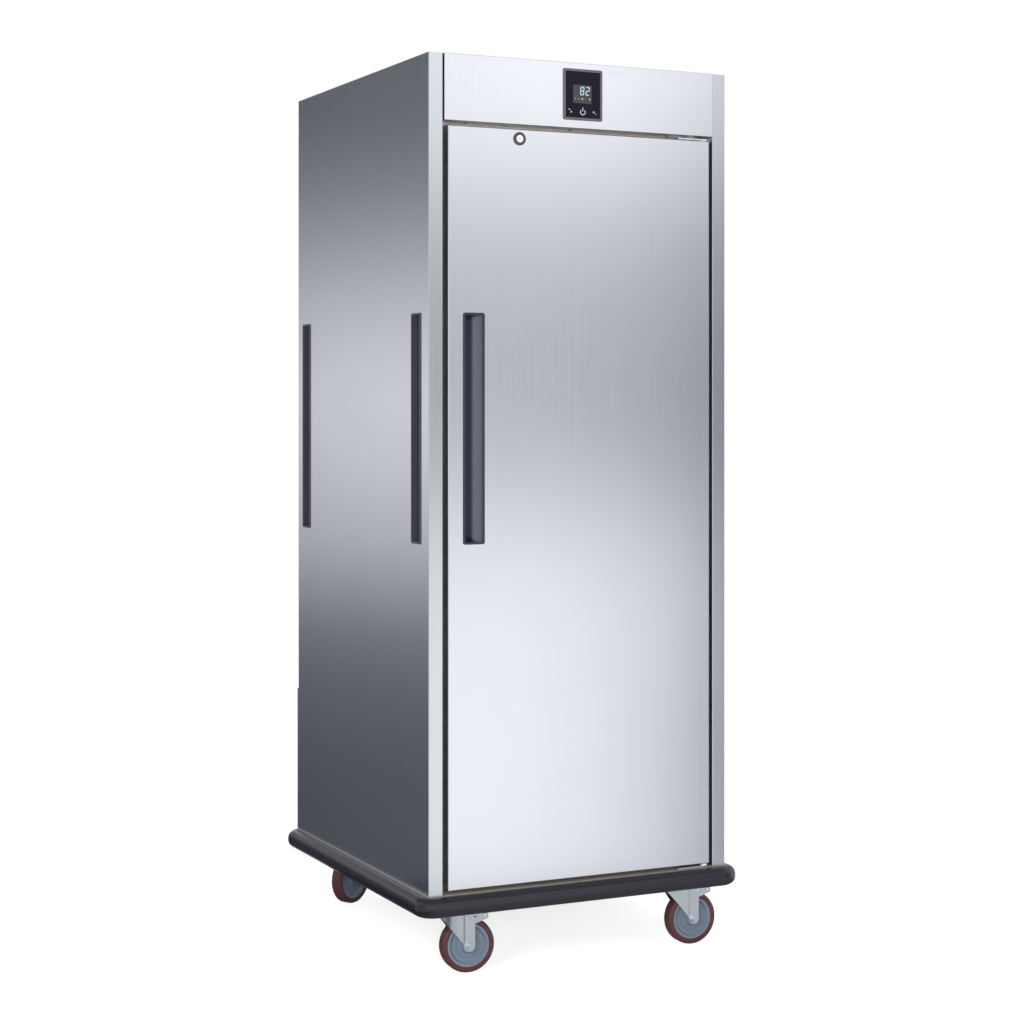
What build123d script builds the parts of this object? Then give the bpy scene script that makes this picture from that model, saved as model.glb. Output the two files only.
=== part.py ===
from build123d import *
import os
from math import cos, radians, sin, sqrt

# Heated banquet cart, in millimetres. X is to the right, Y to the back and Z up.
# The origin is on the floor, under the middle of the cart.

os.makedirs("parts", exist_ok=True)

# Cabinet
body_width = 735.0
body_depth = 810.0
body_height = 1802.0
sheet = 1.0
pan_sheet = 1.5
bend_radius = 1.5
post_width = 33.0
side_wall = 70.0
rear_wall = 50.0
floor_wall = 35.0
ceiling_drop = 42.0
header_height = 143.0
header_gap = 2.0
header_lip_depth = 52.0
header_side_lip = 15.0
header_cap_depth = 24.0
header_seam = 0.3
joggle_lap = 6.0
header_screw_setback = 35.0
top_rim_height = 20.0
frame_lip_depth = 32.0
wool_gap = 1.5

# Door
door_proud = 4.0
door_depth = 48.0
door_side_gap = 10.5
door_top_gap = 10.5
door_bottom_gap = 9.8
door_bend = 2.5
plug_height = 8.0
plug_inset = 39.0
gasket_inset = 6.0
gasket_width = 18.0
gasket_neck = 8.0
gasket_bulb = 15.0
gasket_depth = 12.7
gasket_base = 3.0
gasket_clearance = 0.3

# Hinges
hinge_inset = 8.0
hinge_setback = 12.0
hinge_pin = 8.0
hinge_plate = 3.0
hinge_reach = 69.0
hinge_margin = 5.0
hinge_flange = 44.0
hinge_clearance = 1.5
rivet_diameter = 10.0
rivet_height = 4.5
rivet_taper = 40.0
bush_diameter = 13.0
bush_length = 20.0
bush_flange = 15.0
running_fit = 0.05
running_gap = 0.1

# Lock
lock_inset = 169.5
lock_drop = 21.0
lock_ring = 29.0
lock_proud = 3.0
lock_sleeve = 21.0
barrel_diameter = 17.0
barrel_proud = 2.4
barrel_tail = 8.0
tail_length = 9.0
keyway_width = 9.0
keyway_height = 2.2
cam_reach = 40.0
cam_width = 12.0
cam_plate = 3.0
cam_setback = 20.0
cam_clearance = 1.5
strike_ledge = 8.0

# Recessed pull, the same moulding in the door and in the side panels
grip_length = 498.0
grip_width = 51.0
grip_flange = 2.0
grip_rim = 2.5
grip_clearance = 0.3
grip_depth = 30.0
grip_wall = 2.0
grip_floor = 14.0
grip_end_radius = 18.0
grip_height = 999.0
handle_inset = 60.5
front_grip_inset = 67.5
rear_grip_inset = 59.0

# Control panel in the header
panel_width = 97.0
panel_height = 113.0
panel_rim = 5.7
panel_proud = 2.4
panel_rise = 73.5
glass_thickness = 1.6
glass_clearance = 0.1
housing_depth = 41.0
housing_rim = 1.2

# Chassis and bumper
wheel_diameter = 120.0
castor_height = 153.0
rail_width = 25.0
rail_height = 26.0
rail_wall = 3.0
cross_member = 40.0
corner_plate = 4.0
corner_plate_x = 160.0
corner_plate_y = 115.0
bumper_reach = 30.0
bumper_height = 42.0
bumper_corner = 45.0
bumper_edge = 19.0
bumper_lip = 2.0
bumper_lip_width = 3.0

# Castors
kingpin_inset_front = 86.5
kingpin_inset_rear = 96.0
kingpin_inset_y = 60.0
castor_turns = {"front_left": -6.0, "front_right": -2.0, "rear_left": 30.0, "rear_right": -14.0}
castor_trail = 28.0
castor_plate_x = 115.0
castor_plate_y = 72.0
castor_plate = 4.0
bolt_spacing_x = 80.0
bolt_spacing_y = 50.0
bolt_diameter = 8.0
bolt_hole = 9.0
bolt_head_width = 13.0
bolt_head_height = 5.3
nut_height = 6.5
thread_end = 2.0
race_diameter = 66.0
race_height = 10.0
race_gap = 0.3
head_ring_diameter = 58.0
kingpin_diameter = 12.0
kingpin_nut = 19.0
kingpin_nut_height = 4.2
fork_half_width = 21.5
fork_sheet = 3.0
fork_head = 4.0
fork_head_top = 136.0
fork_edge = 1.2
fork_nose = 36.0
nose_setback = -8.0
fork_arm = 71.0
fork_arm_height = 18.0
fork_neck_height = 28.0
strap_half_width = 12.8
pivot_hole = 5.0
pivot_drop = 12.8
axle_diameter = 10.0
axle_head_width = 16.0
axle_head_height = 6.4
washer_diameter = 21.0
washer_thickness = 1.6
sleeve_diameter = 15.0
hub_diameter = 95.0
hub_width = 32.0
rim_width = 26.0
tread_width = 30.0
tread_shoulder = 6.5

# Inside of the cavity
duct_depth = 46.0
duct_width = 480.0
duct_margin = 12.0
duct_slot_length = 60.0
duct_slot_width = 8.0
duct_slot_rows = 9
intake_hole = 14.0
rack_levels = 10
rack_pitch = 145.0
rack_first = 60.0
upright_depth = 25.0
upright_width = 20.0
upright_inset = 95.0
ledge_width = 20.0
ledge_drop = 12.0
ledge_sheet = 1.5
ledge_end_gap = 10.0
shelf_levels = [1, 4, 7]
rim_wire = 7.0
rim_corner = 14.0
shelf_wire = 4.0
cross_wire = 5.0
shelf_wires = 21
shelf_side_play = 7.5
shelf_end_gap = 3.5
shelf_lift = 0.1
fan_height = 170.0
fan_diameter = 150.0
fan_width = 30.0
fan_plate = 2.0
fan_hub = 24.0
fan_blades = 9
fan_front_gap = 6.0
shaft_diameter = 8.0
shaft_in_motor = 25.0
motor_diameter = 92.0
motor_flange = 116.0
motor_flange_thickness = 3.0
motor_length = 40.0
motor_clearance = 4.0
heater_diameter = 196.0
heater_tube = 8.0
heater_gap_angle = 10.0
heater_leg_tail = 20.0
probe_diameter = 6.0
probe_length = 80.0
probe_inset = 40.0
clip_width = 10.0

# Rear cover and power inlet
cover_depth = 12.0
cover_height = 346.0
cover_inset = 1.0
cover_clearance = 0.5
seat_diameter = 15.0
louvre_length = 110.0
louvre_width = 5.0
louvre_rows = 8
louvre_pitch = 20.0
inlet_x = 240.0
inlet_rise = 75.0
inlet_width = 50.0
inlet_height = 30.0
inlet_depth = 30.0
inlet_flange = 2.5
inlet_flange_margin = 5.0
inlet_wall = 4.0
inlet_recess = 20.0
blade_width = 6.0
blade_thickness = 2.0
blade_length = 16.0

# Screws
screw_diameter = 4.0
screw_hole = 4.2
screw_head = 8.0
screw_head_height = 2.2
screw_tail = 1.4

# Planes and edges that the pieces share
x_side = body_width / 2
y_front = -body_depth / 2
y_rear = body_depth / 2
rail_bottom = castor_height + corner_plate
z_deck = rail_bottom + rail_height
z_top = z_deck + body_height
x_post = x_side - post_width
z_header = z_top - header_height
x_header = x_post - header_gap
y_face = y_front - door_proud
y_lip = y_face + header_lip_depth
y_cap = y_face + header_cap_depth
y_door_back = y_face + door_depth
y_frame = y_door_back + gasket_depth + gasket_clearance
x_door = x_post - door_side_gap
z_door_top = z_header - door_top_gap
z_door = z_deck + door_bottom_gap
x_cavity = x_side - side_wall
z_floor = z_deck + floor_wall
z_ceiling = z_header - ceiling_drop
y_cavity_rear = y_rear - rear_wall
z_pan = z_deck + pan_sheet
y_liner = y_frame + sheet
y_wool_rear = y_rear - 2 * sheet - screw_tail - 1.0
x_hinge = x_door - hinge_inset
y_hinge = y_face + hinge_setback
x_lock = lock_inset - x_door
z_lock = z_door_top - lock_drop
x_handle = handle_inset - x_door
z_grip = z_deck + grip_height
y_front_grip = y_front + front_grip_inset
y_rear_grip = y_rear - rear_grip_inset
z_panel = z_header + panel_rise
z_fan = z_floor + fan_height
y_duct = y_cavity_rear - duct_depth
z_cover = z_deck + bumper_lip + cover_clearance
z_cover_top = z_cover + cover_height
y_cover = y_rear + cover_depth
z_inlet = z_deck + inlet_rise
y_cam = y_face + cam_setback
y_header_screws = y_face + header_screw_setback
z_top_bracket = z_door_top + hinge_clearance
y_hinge_screws = y_frame - 14.0
z_hinge_screws = z_top_bracket + hinge_plate + 0.6 * hinge_flange
z_frame_top = z_top_bracket + hinge_plate + hinge_flange + 4.0
x_frame_lip = x_hinge - hinge_reach - 4.0

# Windows that mouldings drop into
grip_cut_width = grip_width - 2 * grip_rim
grip_cut_length = grip_length - 2 * grip_rim
glass_width = panel_width - 2 * panel_rim
glass_height = panel_height - 2 * panel_rim
housing_width = glass_width + 2 * housing_rim
housing_height = glass_height + 2 * housing_rim

# Screw places, which the holes and the screws share
x_screws = x_side - 14.0
cover_screws_at = [(x, z) for x in (-x_screws, 0.0, x_screws) for z in (z_cover + 18.0, z_cover_top - 18.0)]
rear_rows = [0.32, 0.5, 0.68, 0.84, 0.985]
rear_screws_at = [(x, z_deck + share * body_height) for x in (-x_screws, x_screws) for share in rear_rows]
header_screws_at = [(share * x_header, y_header_screws) for share in (-0.8, -0.035, 0.7)]
hinge_screw_x = [x_hinge - hinge_reach + 16.0, x_hinge - 24.0]
sill_screws_at = [(x, y_hinge_screws) for x in hinge_screw_x]
hinge_screws_at = [(x, z_hinge_screws) for x in hinge_screw_x]


def front_plane(y):
    """A plane that faces the front: its x is to the right and its y is up."""
    return Plane(origin=(0, y, 0), x_dir=(1, 0, 0), z_dir=(0, -1, 0))


def rear_plane(y):
    """A plane that faces the back: its x runs to the left of the cart and its y is up."""
    return Plane(origin=(0, y, 0), x_dir=(-1, 0, 0), z_dir=(0, 1, 0))


def side_plane(side):
    """The outside of one side panel: its y is up, and side is -1 on the left and 1 on the right."""
    return Plane(origin=(side * x_side, 0, 0), x_dir=(0, side, 0), z_dir=(side, 0, 0))


def flipped(points):
    """The same places as seen from behind."""
    return [(-x, z) for x, z in points]


def block(low, high, mode=Mode.ADD):
    """A square-cornered block between two opposite corners, given in any order."""
    middle = [(a + b) / 2 for a, b in zip(low, high)]
    size = [abs(b - a) for a, b in zip(low, high)]
    with Locations(tuple(middle)):
        Box(*size, mode=mode)


def pin(plane, points, diameter, length, mode=Mode.ADD):
    """Round pins that stand on a plane along its normal, or go in against it if the length is negative."""
    with BuildSketch(plane) as pattern:
        with Locations(*points):
            Circle(diameter / 2)
    extrude(pattern.sketch, amount=length, mode=mode)


def drill(plane, points, diameter, depth):
    """Round holes that go in from a plane against its normal."""
    pin(plane, points, diameter, -depth, mode=Mode.SUBTRACT)


def hexagon(plane, points, across_flats, height):
    """Hexagonal heads or nuts that stand on a plane along its normal."""
    with BuildSketch(plane) as pattern:
        with Locations(*points):
            RegularPolygon(across_flats / 2, 6, major_radius=False)
    extrude(pattern.sketch, amount=height)


def window(plane, centre, width, height, radius, depth, mode=Mode.SUBTRACT):
    """A window with rounded corners that goes in from a plane, or a pad that stands on it."""
    with BuildSketch(plane) as outline:
        with Locations(centre):
            RectangleRounded(width, height, radius)
    extrude(outline.sketch, amount=-depth, mode=mode)


def border(plane, centre, width, height, band, depth):
    """A rectangular ring that stands on a plane, with its band measured inwards."""
    with BuildSketch(plane) as outline:
        with Locations(centre):
            Rectangle(width, height)
            Rectangle(width - 2 * band, height - 2 * band, mode=Mode.SUBTRACT)
    extrude(outline.sketch, amount=depth)


def save(shape, name):
    """Labels a finished piece and writes it to the file with its name."""
    shape.label = name
    export_step(shape, f"parts/{name}.step")


# Side panels, each folded round the front corner into a post and round the back into a return
def side_panel(side):
    """One side panel. Side is -1 on the left and 1 on the right."""
    with BuildPart() as panel:
        with BuildSketch(Plane.XY.offset(z_deck)) as plan:
            with Locations((side * (x_side - post_width / 2), -sheet / 2)):
                Rectangle(post_width, body_depth - sheet)
            fillet(plan.vertices().group_by(Axis.Y)[0], bend_radius)
            offset(plan.sketch, amount=-sheet, mode=Mode.SUBTRACT)
            with Locations((side * (x_post + sheet / 2), (y_frame + y_rear) / 2 - sheet)):
                Rectangle(sheet, y_rear - y_frame - 2 * sheet, mode=Mode.SUBTRACT)
        extrude(amount=body_height - sheet)
        for y in (y_front_grip, y_rear_grip):
            window(side_plane(side), (side * y, z_grip), grip_cut_width, grip_cut_length, 4.0, 2 * sheet)
        screws_here = [(x, z) for x, z in rear_screws_at + cover_screws_at if x * side > 0]
        drill(rear_plane(y_rear), flipped(screws_here), screw_hole, 3 * sheet)
    return panel.part


left_side_panel = side_panel(-1)
save(left_side_panel, "left_side_panel")
right_side_panel = side_panel(1)
save(right_side_panel, "right_side_panel")

# Rear panel, with the windows that the fan motor and the power inlet reach through
with BuildPart() as rear_panel:
    block((-x_side, y_rear - sheet, z_deck), (x_side, y_rear, z_top - sheet))
    motor_window = motor_diameter + 48.0
    window(rear_plane(y_rear), (0, z_fan), motor_window, motor_window, 6.0, 2 * sheet)
    window(rear_plane(y_rear), (-inlet_x, z_inlet), inlet_width + 2, inlet_height + 2, 3.0, 2 * sheet)
    drill(rear_plane(y_rear), flipped(rear_screws_at + cover_screws_at), screw_hole, 2 * sheet)
save(rear_panel.part, "rear_panel")

# Top panel, with rims inside the side panels and a joggle under the cap of the header
with BuildPart() as top_panel:
    block((-x_side, y_front, z_top - sheet), (x_side, y_rear, z_top))
    x_recess = x_header + header_seam
    block((-x_recess, y_front - 1, z_top - sheet), (x_recess, y_cap + header_seam, z_top), mode=Mode.SUBTRACT)
    x_joggle = x_header - 2 * sheet - header_seam
    block((-x_joggle, y_front, z_top - 2 * sheet), (x_joggle, y_cap + joggle_lap, z_top - sheet))
    for side in (-1, 1):
        rim_low = (side * (x_side - 2 * sheet), y_frame, z_top - sheet - top_rim_height)
        rim_high = (side * (x_side - sheet), y_rear - 3 * sheet, z_top - sheet)
        block(rim_low, rim_high)
save(top_panel.part, "top_panel")

# Base pan, whose front edge is the sill under the door
with BuildPart() as base_pan:
    block((-x_side + sheet, y_frame, z_deck), (x_side - sheet, y_rear - 2 * sheet, z_pan))
    block((-x_post, y_front, z_deck), (x_post, y_frame, z_pan))
    drill(Plane.XY.offset(z_pan), sill_screws_at, screw_hole, 2 * pan_sheet)
save(base_pan.part, "base_pan")

# Front frame that the gasket closes on, with a lip that carries the header
with BuildPart() as front_frame:
    x_frame = x_post + sheet
    block((-x_frame, y_frame, z_pan), (x_frame, y_liner, z_frame_top))
    block((-x_cavity, y_frame - 1, z_floor), (x_cavity, y_liner + 1, z_ceiling), mode=Mode.SUBTRACT)
    z_frame_lip = z_header + sheet
    block((-x_header + 2, y_frame - frame_lip_depth, z_frame_lip), (x_frame_lip, y_frame, z_frame_lip + sheet))
    drill(Plane.XY.offset(z_frame_lip + sheet), header_screws_at, screw_hole, 2 * sheet)
    drill(front_plane(y_frame), hinge_screws_at, screw_hole, 2 * sheet)
save(front_frame.part, "front_frame")

# Header: a folded face with lips all round and a cap that lies flush in the top panel
with BuildPart() as header_fascia:
    block((-x_header, y_face, z_header), (x_header, y_lip, z_top))
    fillet(header_fascia.faces().sort_by(Axis.Y)[0].outer_wire().edges(), 0.8 * sheet)
    inner_low = (-x_header + sheet, y_face + sheet, z_header + sheet)
    block(inner_low, (x_header - sheet, y_lip + 1, z_top - sheet), mode=Mode.SUBTRACT)
    block((-x_header - 1, y_cap, z_top - 2 * sheet), (x_header + 1, y_lip + 1, z_top + 1), mode=Mode.SUBTRACT)
    for side in (-1, 1):
        lip_low = (side * (x_header - 2 * sheet), y_face + header_side_lip, z_header + sheet)
        block(lip_low, (side * (x_header + 1), y_lip + 1, z_top + 1), mode=Mode.SUBTRACT)
    window(front_plane(y_face), (0, z_panel), housing_width + 0.6, housing_height + 0.6, 0.5, 2 * sheet)
    drill(Plane.XY.offset(z_header + sheet), header_screws_at, screw_hole, 2 * sheet)
    strike_reach = sqrt(cam_reach**2 - (z_header - z_lock) ** 2) + cam_clearance
    strike_low = (x_lock - strike_reach, y_face + strike_ledge, z_header - 1)
    strike_high = (x_lock + cam_width / 2 + cam_clearance, y_lip + 1, z_header + 2 * sheet)
    block(strike_low, strike_high, mode=Mode.SUBTRACT)
save(header_fascia.part, "header_fascia")

# Control panel: a bezel on the header, a glass face and the housing behind it
with BuildPart() as control_bezel:
    with BuildSketch(front_plane(y_face)) as bezel_ring:
        with Locations((0, z_panel)):
            RectangleRounded(panel_width, panel_height, 4.0)
            Rectangle(glass_width + 2 * glass_clearance, glass_height + 2 * glass_clearance, mode=Mode.SUBTRACT)
    extrude(amount=panel_proud)
    chamfer(control_bezel.faces().sort_by(Axis.Y)[0].outer_wire().edges(), 0.8)
save(control_bezel.part, "control_bezel")

with BuildPart() as control_glass:
    window(front_plane(y_face), (0, z_panel), glass_width, glass_height, 1.0, -glass_thickness, mode=Mode.ADD)
save(control_glass.part, "control_glass")

with BuildPart() as control_housing:
    window(front_plane(y_face), (0, z_panel), housing_width, housing_height, 2.0, housing_depth, mode=Mode.ADD)
    fillet(control_housing.faces().sort_by(Axis.Y)[-1].outer_wire().edges(), 1.5)
save(control_housing.part, "control_housing")

# Cavity liner: the walls and the back, and then the floor and the ceiling
heater_leg_x = heater_diameter / 2 * sin(radians(heater_gap_angle))
z_heater_legs = z_fan + heater_diameter / 2 * cos(radians(heater_gap_angle))
heater_legs_at = [(-heater_leg_x, z_heater_legs), (heater_leg_x, z_heater_legs)]
x_liner = x_cavity + sheet
y_liner_rear = y_cavity_rear + sheet
liner_sheets = []
for side in (-1, 1):
    with BuildPart() as liner_side:
        block((side * x_cavity, y_liner, z_floor), (side * x_liner, y_liner_rear, z_ceiling))
    liner_sheets.append(liner_side.part)
for z in (z_floor - sheet, z_ceiling):
    with BuildPart() as liner_flat:
        block((-x_liner, y_liner, z), (x_liner, y_liner_rear, z + sheet))
    liner_sheets.append(liner_flat.part)
with BuildPart() as liner_back:
    block((-x_cavity, y_cavity_rear, z_floor), (x_cavity, y_liner_rear, z_ceiling))
    drill(rear_plane(y_liner_rear), [(0, z_fan)], fan_hub + 4.0, 2 * sheet)
    drill(rear_plane(y_liner_rear), flipped(heater_legs_at), heater_tube + 1.0, 2 * sheet)
liner_sheets.append(liner_back.part)
cavity_liner = Compound(liner_sheets)
save(cavity_liner, "cavity_liner")

# Insulation slabs between the liner and the outer panels
x_wool = x_side - sheet
wool_slabs = []
for z_low, z_high in ((z_pan, z_floor - sheet), (z_ceiling + sheet, z_header + sheet)):
    with BuildPart() as flat_slab:
        block((-x_wool, y_liner, z_low), (x_wool, y_wool_rear, z_high))
    wool_slabs.append(flat_slab.part)
for side in (-1, 1):
    with BuildPart() as side_slab:
        block((side * x_liner, y_liner, z_floor - sheet), (side * x_wool, y_wool_rear, z_ceiling + sheet))
        for y in (y_front_grip, y_rear_grip):
            pocket_width = grip_cut_width + 6.0
            pocket_depth = grip_depth + 1.0
            window(side_plane(side), (side * y, z_grip), pocket_width, grip_cut_length + 6.0, 4.0, pocket_depth)
    wool_slabs.append(side_slab.part)
with BuildPart() as rear_slab:
    block((-x_liner, y_liner_rear, z_floor - sheet), (x_liner, y_wool_rear, z_ceiling + sheet))
    drill(rear_plane(y_wool_rear), [(0, z_fan)], motor_flange + 2 * motor_clearance, rear_wall)
    leg_pocket = 2 * heater_leg_x + heater_tube + 12.0
    window(rear_plane(y_wool_rear), (0, z_heater_legs), leg_pocket, heater_tube + 12.0, 3.0, rear_wall)
    inlet_pocket_depth = inlet_depth - cover_depth - (y_rear - y_wool_rear) + 3.0
    inlet_pocket = (inlet_width + 6.0, inlet_height + 6.0)
    window(rear_plane(y_wool_rear), (-inlet_x, z_inlet), *inlet_pocket, 3.0, inlet_pocket_depth)
wool_slabs.append(rear_slab.part)
insulation = Compound(wool_slabs)
save(insulation, "insulation")


# Recessed pull mouldings
def grip(plane):
    """A moulding with a proud flange and a scoop that is deep on the low-x side and rises on the other."""
    recess_half = grip_cut_width / 2 - grip_clearance - grip_wall
    recess_length = grip_cut_length - 2 * (grip_clearance + grip_wall)
    recess_depth = grip_depth - grip_wall
    above = grip_flange + 1.0
    curve_start = grip_floor - recess_half
    section_plane = Plane(origin=plane.origin, x_dir=plane.x_dir, z_dir=-plane.y_dir)
    length_plane = Plane(origin=plane.origin, x_dir=plane.y_dir, z_dir=plane.x_dir)
    with BuildPart() as scoop:
        with BuildSketch(section_plane):
            with BuildLine():
                Polyline(
                    (recess_half, 0),
                    (recess_half, above),
                    (-recess_half, above),
                    (-recess_half, -recess_depth),
                    (curve_start, -recess_depth),
                )
                EllipticalCenterArc((curve_start, 0), recess_half - curve_start, recess_depth, 270, arc_size=90)
            make_face()
        extrude(amount=recess_length / 2, both=True)
        with BuildSketch(length_plane) as long_section:
            with Locations((0, (above - recess_depth) / 2)):
                Rectangle(recess_length, recess_depth + above)
            fillet(long_section.vertices().group_by(Axis.Y)[0], grip_end_radius)
        extrude(amount=grip_width, both=True, mode=Mode.INTERSECT)
    with BuildPart() as moulding:
        window(plane, (0, 0), grip_width, grip_length, 5.0, -grip_flange, mode=Mode.ADD)
        fillet(moulding.edges().filter_by(GeomType.LINE).filter_by(lambda e: is_on_top(e, plane)), 1.0)
        cup_width = grip_cut_width - 2 * grip_clearance
        cup_length = grip_cut_length - 2 * grip_clearance
        window(plane, (0, 0), cup_width, cup_length, 3.7, grip_depth, mode=Mode.ADD)
        add(scoop.part, mode=Mode.SUBTRACT)
    return moulding.part


def is_on_top(edge, plane):
    """Whether an edge lies on the outer face of a moulding's flange."""
    return abs(plane.to_local_coords(edge.center()).Z - grip_flange) < 0.01


# Side panel grips
for side, side_name in ((-1, "left"), (1, "right")):
    for y, end_name in ((y_front_grip, "front"), (y_rear_grip, "rear")):
        at_grip = Plane(origin=(side * x_side, y, z_grip), x_dir=(0, side, 0), z_dir=(side, 0, 0))
        save(grip(at_grip), f"{side_name}_{end_name}_grip")

# Door skin, a tray that is open to the back
with BuildPart() as door_skin:
    block((-x_door, y_face, z_door), (x_door, y_door_back, z_door_top))
    fillet(door_skin.faces().sort_by(Axis.Y)[0].outer_wire().edges(), door_bend)
    offset(amount=-sheet, openings=door_skin.faces().sort_by(Axis.Y)[-1])
    window(front_plane(y_face), (x_handle, z_grip), grip_cut_width, grip_cut_length, 4.0, 2 * sheet)
    drill(front_plane(y_face), [(x_lock, z_lock)], lock_sleeve + 2 * grip_clearance, 2 * sheet)
    for z in (z_door + sheet, z_door_top):
        drill(Plane.XY.offset(z), [(x_hinge, y_hinge)], bush_diameter + 2 * running_gap, sheet)
    slot_rise = z_door_top - sheet - z_lock
    slot_reach = sqrt(cam_reach**2 - slot_rise**2) + cam_clearance
    slot_low = (x_lock - slot_reach, y_cam - cam_clearance, z_door_top - 2 * sheet)
    slot_high = (x_lock + cam_width / 2 + cam_clearance, y_cam + cam_plate + cam_clearance, z_door_top + 1)
    block(slot_low, slot_high, mode=Mode.SUBTRACT)
save(door_skin.part, "door_skin")

# Door liner, a sheet that closes the tray, with a raised plug
x_plug = x_door - plug_inset
with BuildPart() as door_liner:
    liner_low = (-x_door + sheet, y_door_back - sheet, z_door + sheet)
    block(liner_low, (x_door - sheet, y_door_back, z_door_top - sheet))
    plug_low = (-x_plug, y_door_back, z_door + plug_inset)
    plug_high = (x_plug, y_door_back + plug_height, z_door_top - plug_inset)
    block(plug_low, plug_high)
    fillet(door_liner.faces().sort_by(Axis.Y)[-1].outer_wire().edges(), bend_radius)
    hollow_low = (-x_plug + sheet, y_door_back - 2 * sheet, z_door + plug_inset + sheet)
    hollow_high = (x_plug - sheet, y_door_back + plug_height - sheet, z_door_top - plug_inset - sheet)
    block(hollow_low, hollow_high, mode=Mode.SUBTRACT)
save(door_liner.part, "door_liner")

# Door insulation, with pockets for the pull, the lock and the hinge bushes
with BuildPart() as door_insulation:
    x_fill = x_door - sheet - wool_gap
    fill_low = (-x_fill, y_face + sheet, z_door + sheet + wool_gap)
    fill_high = (x_fill, y_door_back - sheet, z_door_top - sheet - wool_gap)
    block(fill_low, fill_high)
    pocket = (grip_cut_width + 6.0, grip_cut_length + 6.0)
    window(front_plane(y_face), (x_handle, z_grip), *pocket, 4.0, grip_depth + 1.0)
    lock_pocket_low = (x_lock - cam_reach - 4.0, y_face, z_lock - lock_ring / 2 - 4.0)
    lock_pocket_high = (x_lock + lock_ring / 2 + 4.0, y_cam + cam_plate + tail_length, z_door_top)
    block(lock_pocket_low, lock_pocket_high, mode=Mode.SUBTRACT)
    bush_pocket = bush_length + 4.0
    for z_low, z_high in ((z_door, z_door + bush_pocket), (z_door_top - bush_pocket, z_door_top)):
        y_pocket = y_hinge + bush_diameter / 2 + 4.0
        block((x_hinge - bush_diameter, y_face, z_low), (x_door, y_pocket, z_high), mode=Mode.SUBTRACT)
save(door_insulation.part, "door_insulation")

# Door gasket: a base strip, a neck and a bulb, all the way round
with BuildPart() as door_gasket:
    gasket_middle = (0, (z_door + z_door_top) / 2)
    gasket_across = 2 * (x_door - gasket_inset)
    gasket_along = z_door_top - z_door - 2 * gasket_inset
    neck_depth = 0.3 * gasket_depth
    for band, start, depth in (
        (gasket_width, 0.0, gasket_base),
        (gasket_neck, gasket_base, neck_depth),
        (gasket_bulb, gasket_base + neck_depth, gasket_depth - gasket_base - neck_depth),
    ):
        around = gasket_width - band
        at_layer = rear_plane(y_door_back + start)
        border(at_layer, gasket_middle, gasket_across - around, gasket_along - around, band, depth)
save(door_gasket.part, "door_gasket")

# Door handle
save(grip(Plane(origin=(x_handle, y_face, z_grip), x_dir=(1, 0, 0), z_dir=(0, -1, 0))), "door_handle")

# Lock
at_lock = [(x_lock, z_lock)]
with BuildPart() as lock_case:
    pin(front_plane(y_face), at_lock, lock_ring, lock_proud)
    fillet(lock_case.faces().sort_by(Axis.Y)[0].outer_wire().edges(), 1.0)
    pin(front_plane(y_face), at_lock, lock_sleeve, -(cam_setback - running_gap))
    drill(front_plane(y_face - lock_proud), at_lock, barrel_diameter + 2 * running_fit, lock_proud + cam_setback)
save(lock_case.part, "lock_case")

with BuildPart() as lock_barrel:
    pin(front_plane(y_cam), at_lock, barrel_diameter, cam_setback + barrel_proud)
    chamfer(lock_barrel.faces().sort_by(Axis.Y)[0].outer_wire().edges(), 0.5)
    window(front_plane(y_face - barrel_proud), at_lock[0], keyway_width, keyway_height, 0.8, 6.0)
    pin(rear_plane(y_cam), flipped(at_lock), barrel_tail, cam_plate + tail_length - 2.0)
save(lock_barrel.part, "lock_barrel")

with BuildPart() as lock_cam:
    with BuildSketch(front_plane(y_cam + cam_plate)):
        with Locations((x_lock - cam_reach / 2, z_lock)):
            SlotOverall(cam_reach + cam_width, cam_width)
        with Locations((x_lock - cam_reach - cam_width / 2, z_lock)):
            Rectangle(cam_width, cam_width, mode=Mode.SUBTRACT)
        with Locations((x_lock, z_lock)):
            Circle(0.6 * cam_width)
            Circle(barrel_tail / 2 + running_fit, mode=Mode.SUBTRACT)
    extrude(amount=cam_plate)
    hexagon(rear_plane(y_cam + cam_plate), flipped(at_lock), bolt_head_width, nut_height)
    drill(rear_plane(y_cam + cam_plate + nut_height), flipped(at_lock), barrel_tail + 2 * running_fit, 2 * nut_height)
save(lock_cam.part, "lock_cam")

# Hinge brackets, whose pins point into the door
hinge_axis = [(x_hinge, y_hinge)]
bracket_left = x_hinge - hinge_reach
bracket_right = x_hinge + hinge_margin
y_bracket = y_hinge - hinge_margin - 1.0
with BuildPart() as top_hinge_bracket:
    block((bracket_left, y_bracket, z_top_bracket), (bracket_right, y_frame, z_top_bracket + hinge_plate))
    z_bracket = z_top_bracket + hinge_plate
    block((bracket_left, y_frame - hinge_plate, z_bracket), (bracket_right, y_frame, z_bracket + hinge_flange))
    with BuildSketch(Plane.XY.offset(z_bracket)):
        with Locations(hinge_axis[0]):
            Circle(rivet_diameter / 2)
    extrude(amount=rivet_height, taper=rivet_taper)
    pin(Plane.XY.offset(z_top_bracket), hinge_axis, hinge_pin, -(bush_length - hinge_clearance))
    drill(front_plane(y_frame - hinge_plate), hinge_screws_at, screw_hole, hinge_plate)
save(top_hinge_bracket.part, "top_hinge_bracket")

with BuildPart() as bottom_hinge_bracket:
    z_sill_plate = z_pan + hinge_plate
    block((bracket_left, y_bracket, z_pan), (bracket_right, y_frame, z_sill_plate))
    pin(Plane.XY.offset(z_sill_plate), hinge_axis, hinge_pin, z_door - z_sill_plate + bush_length - 2.0)
    drill(Plane.XY.offset(z_sill_plate), sill_screws_at, screw_hole, hinge_plate)
save(bottom_hinge_bracket.part, "bottom_hinge_bracket")

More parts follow.
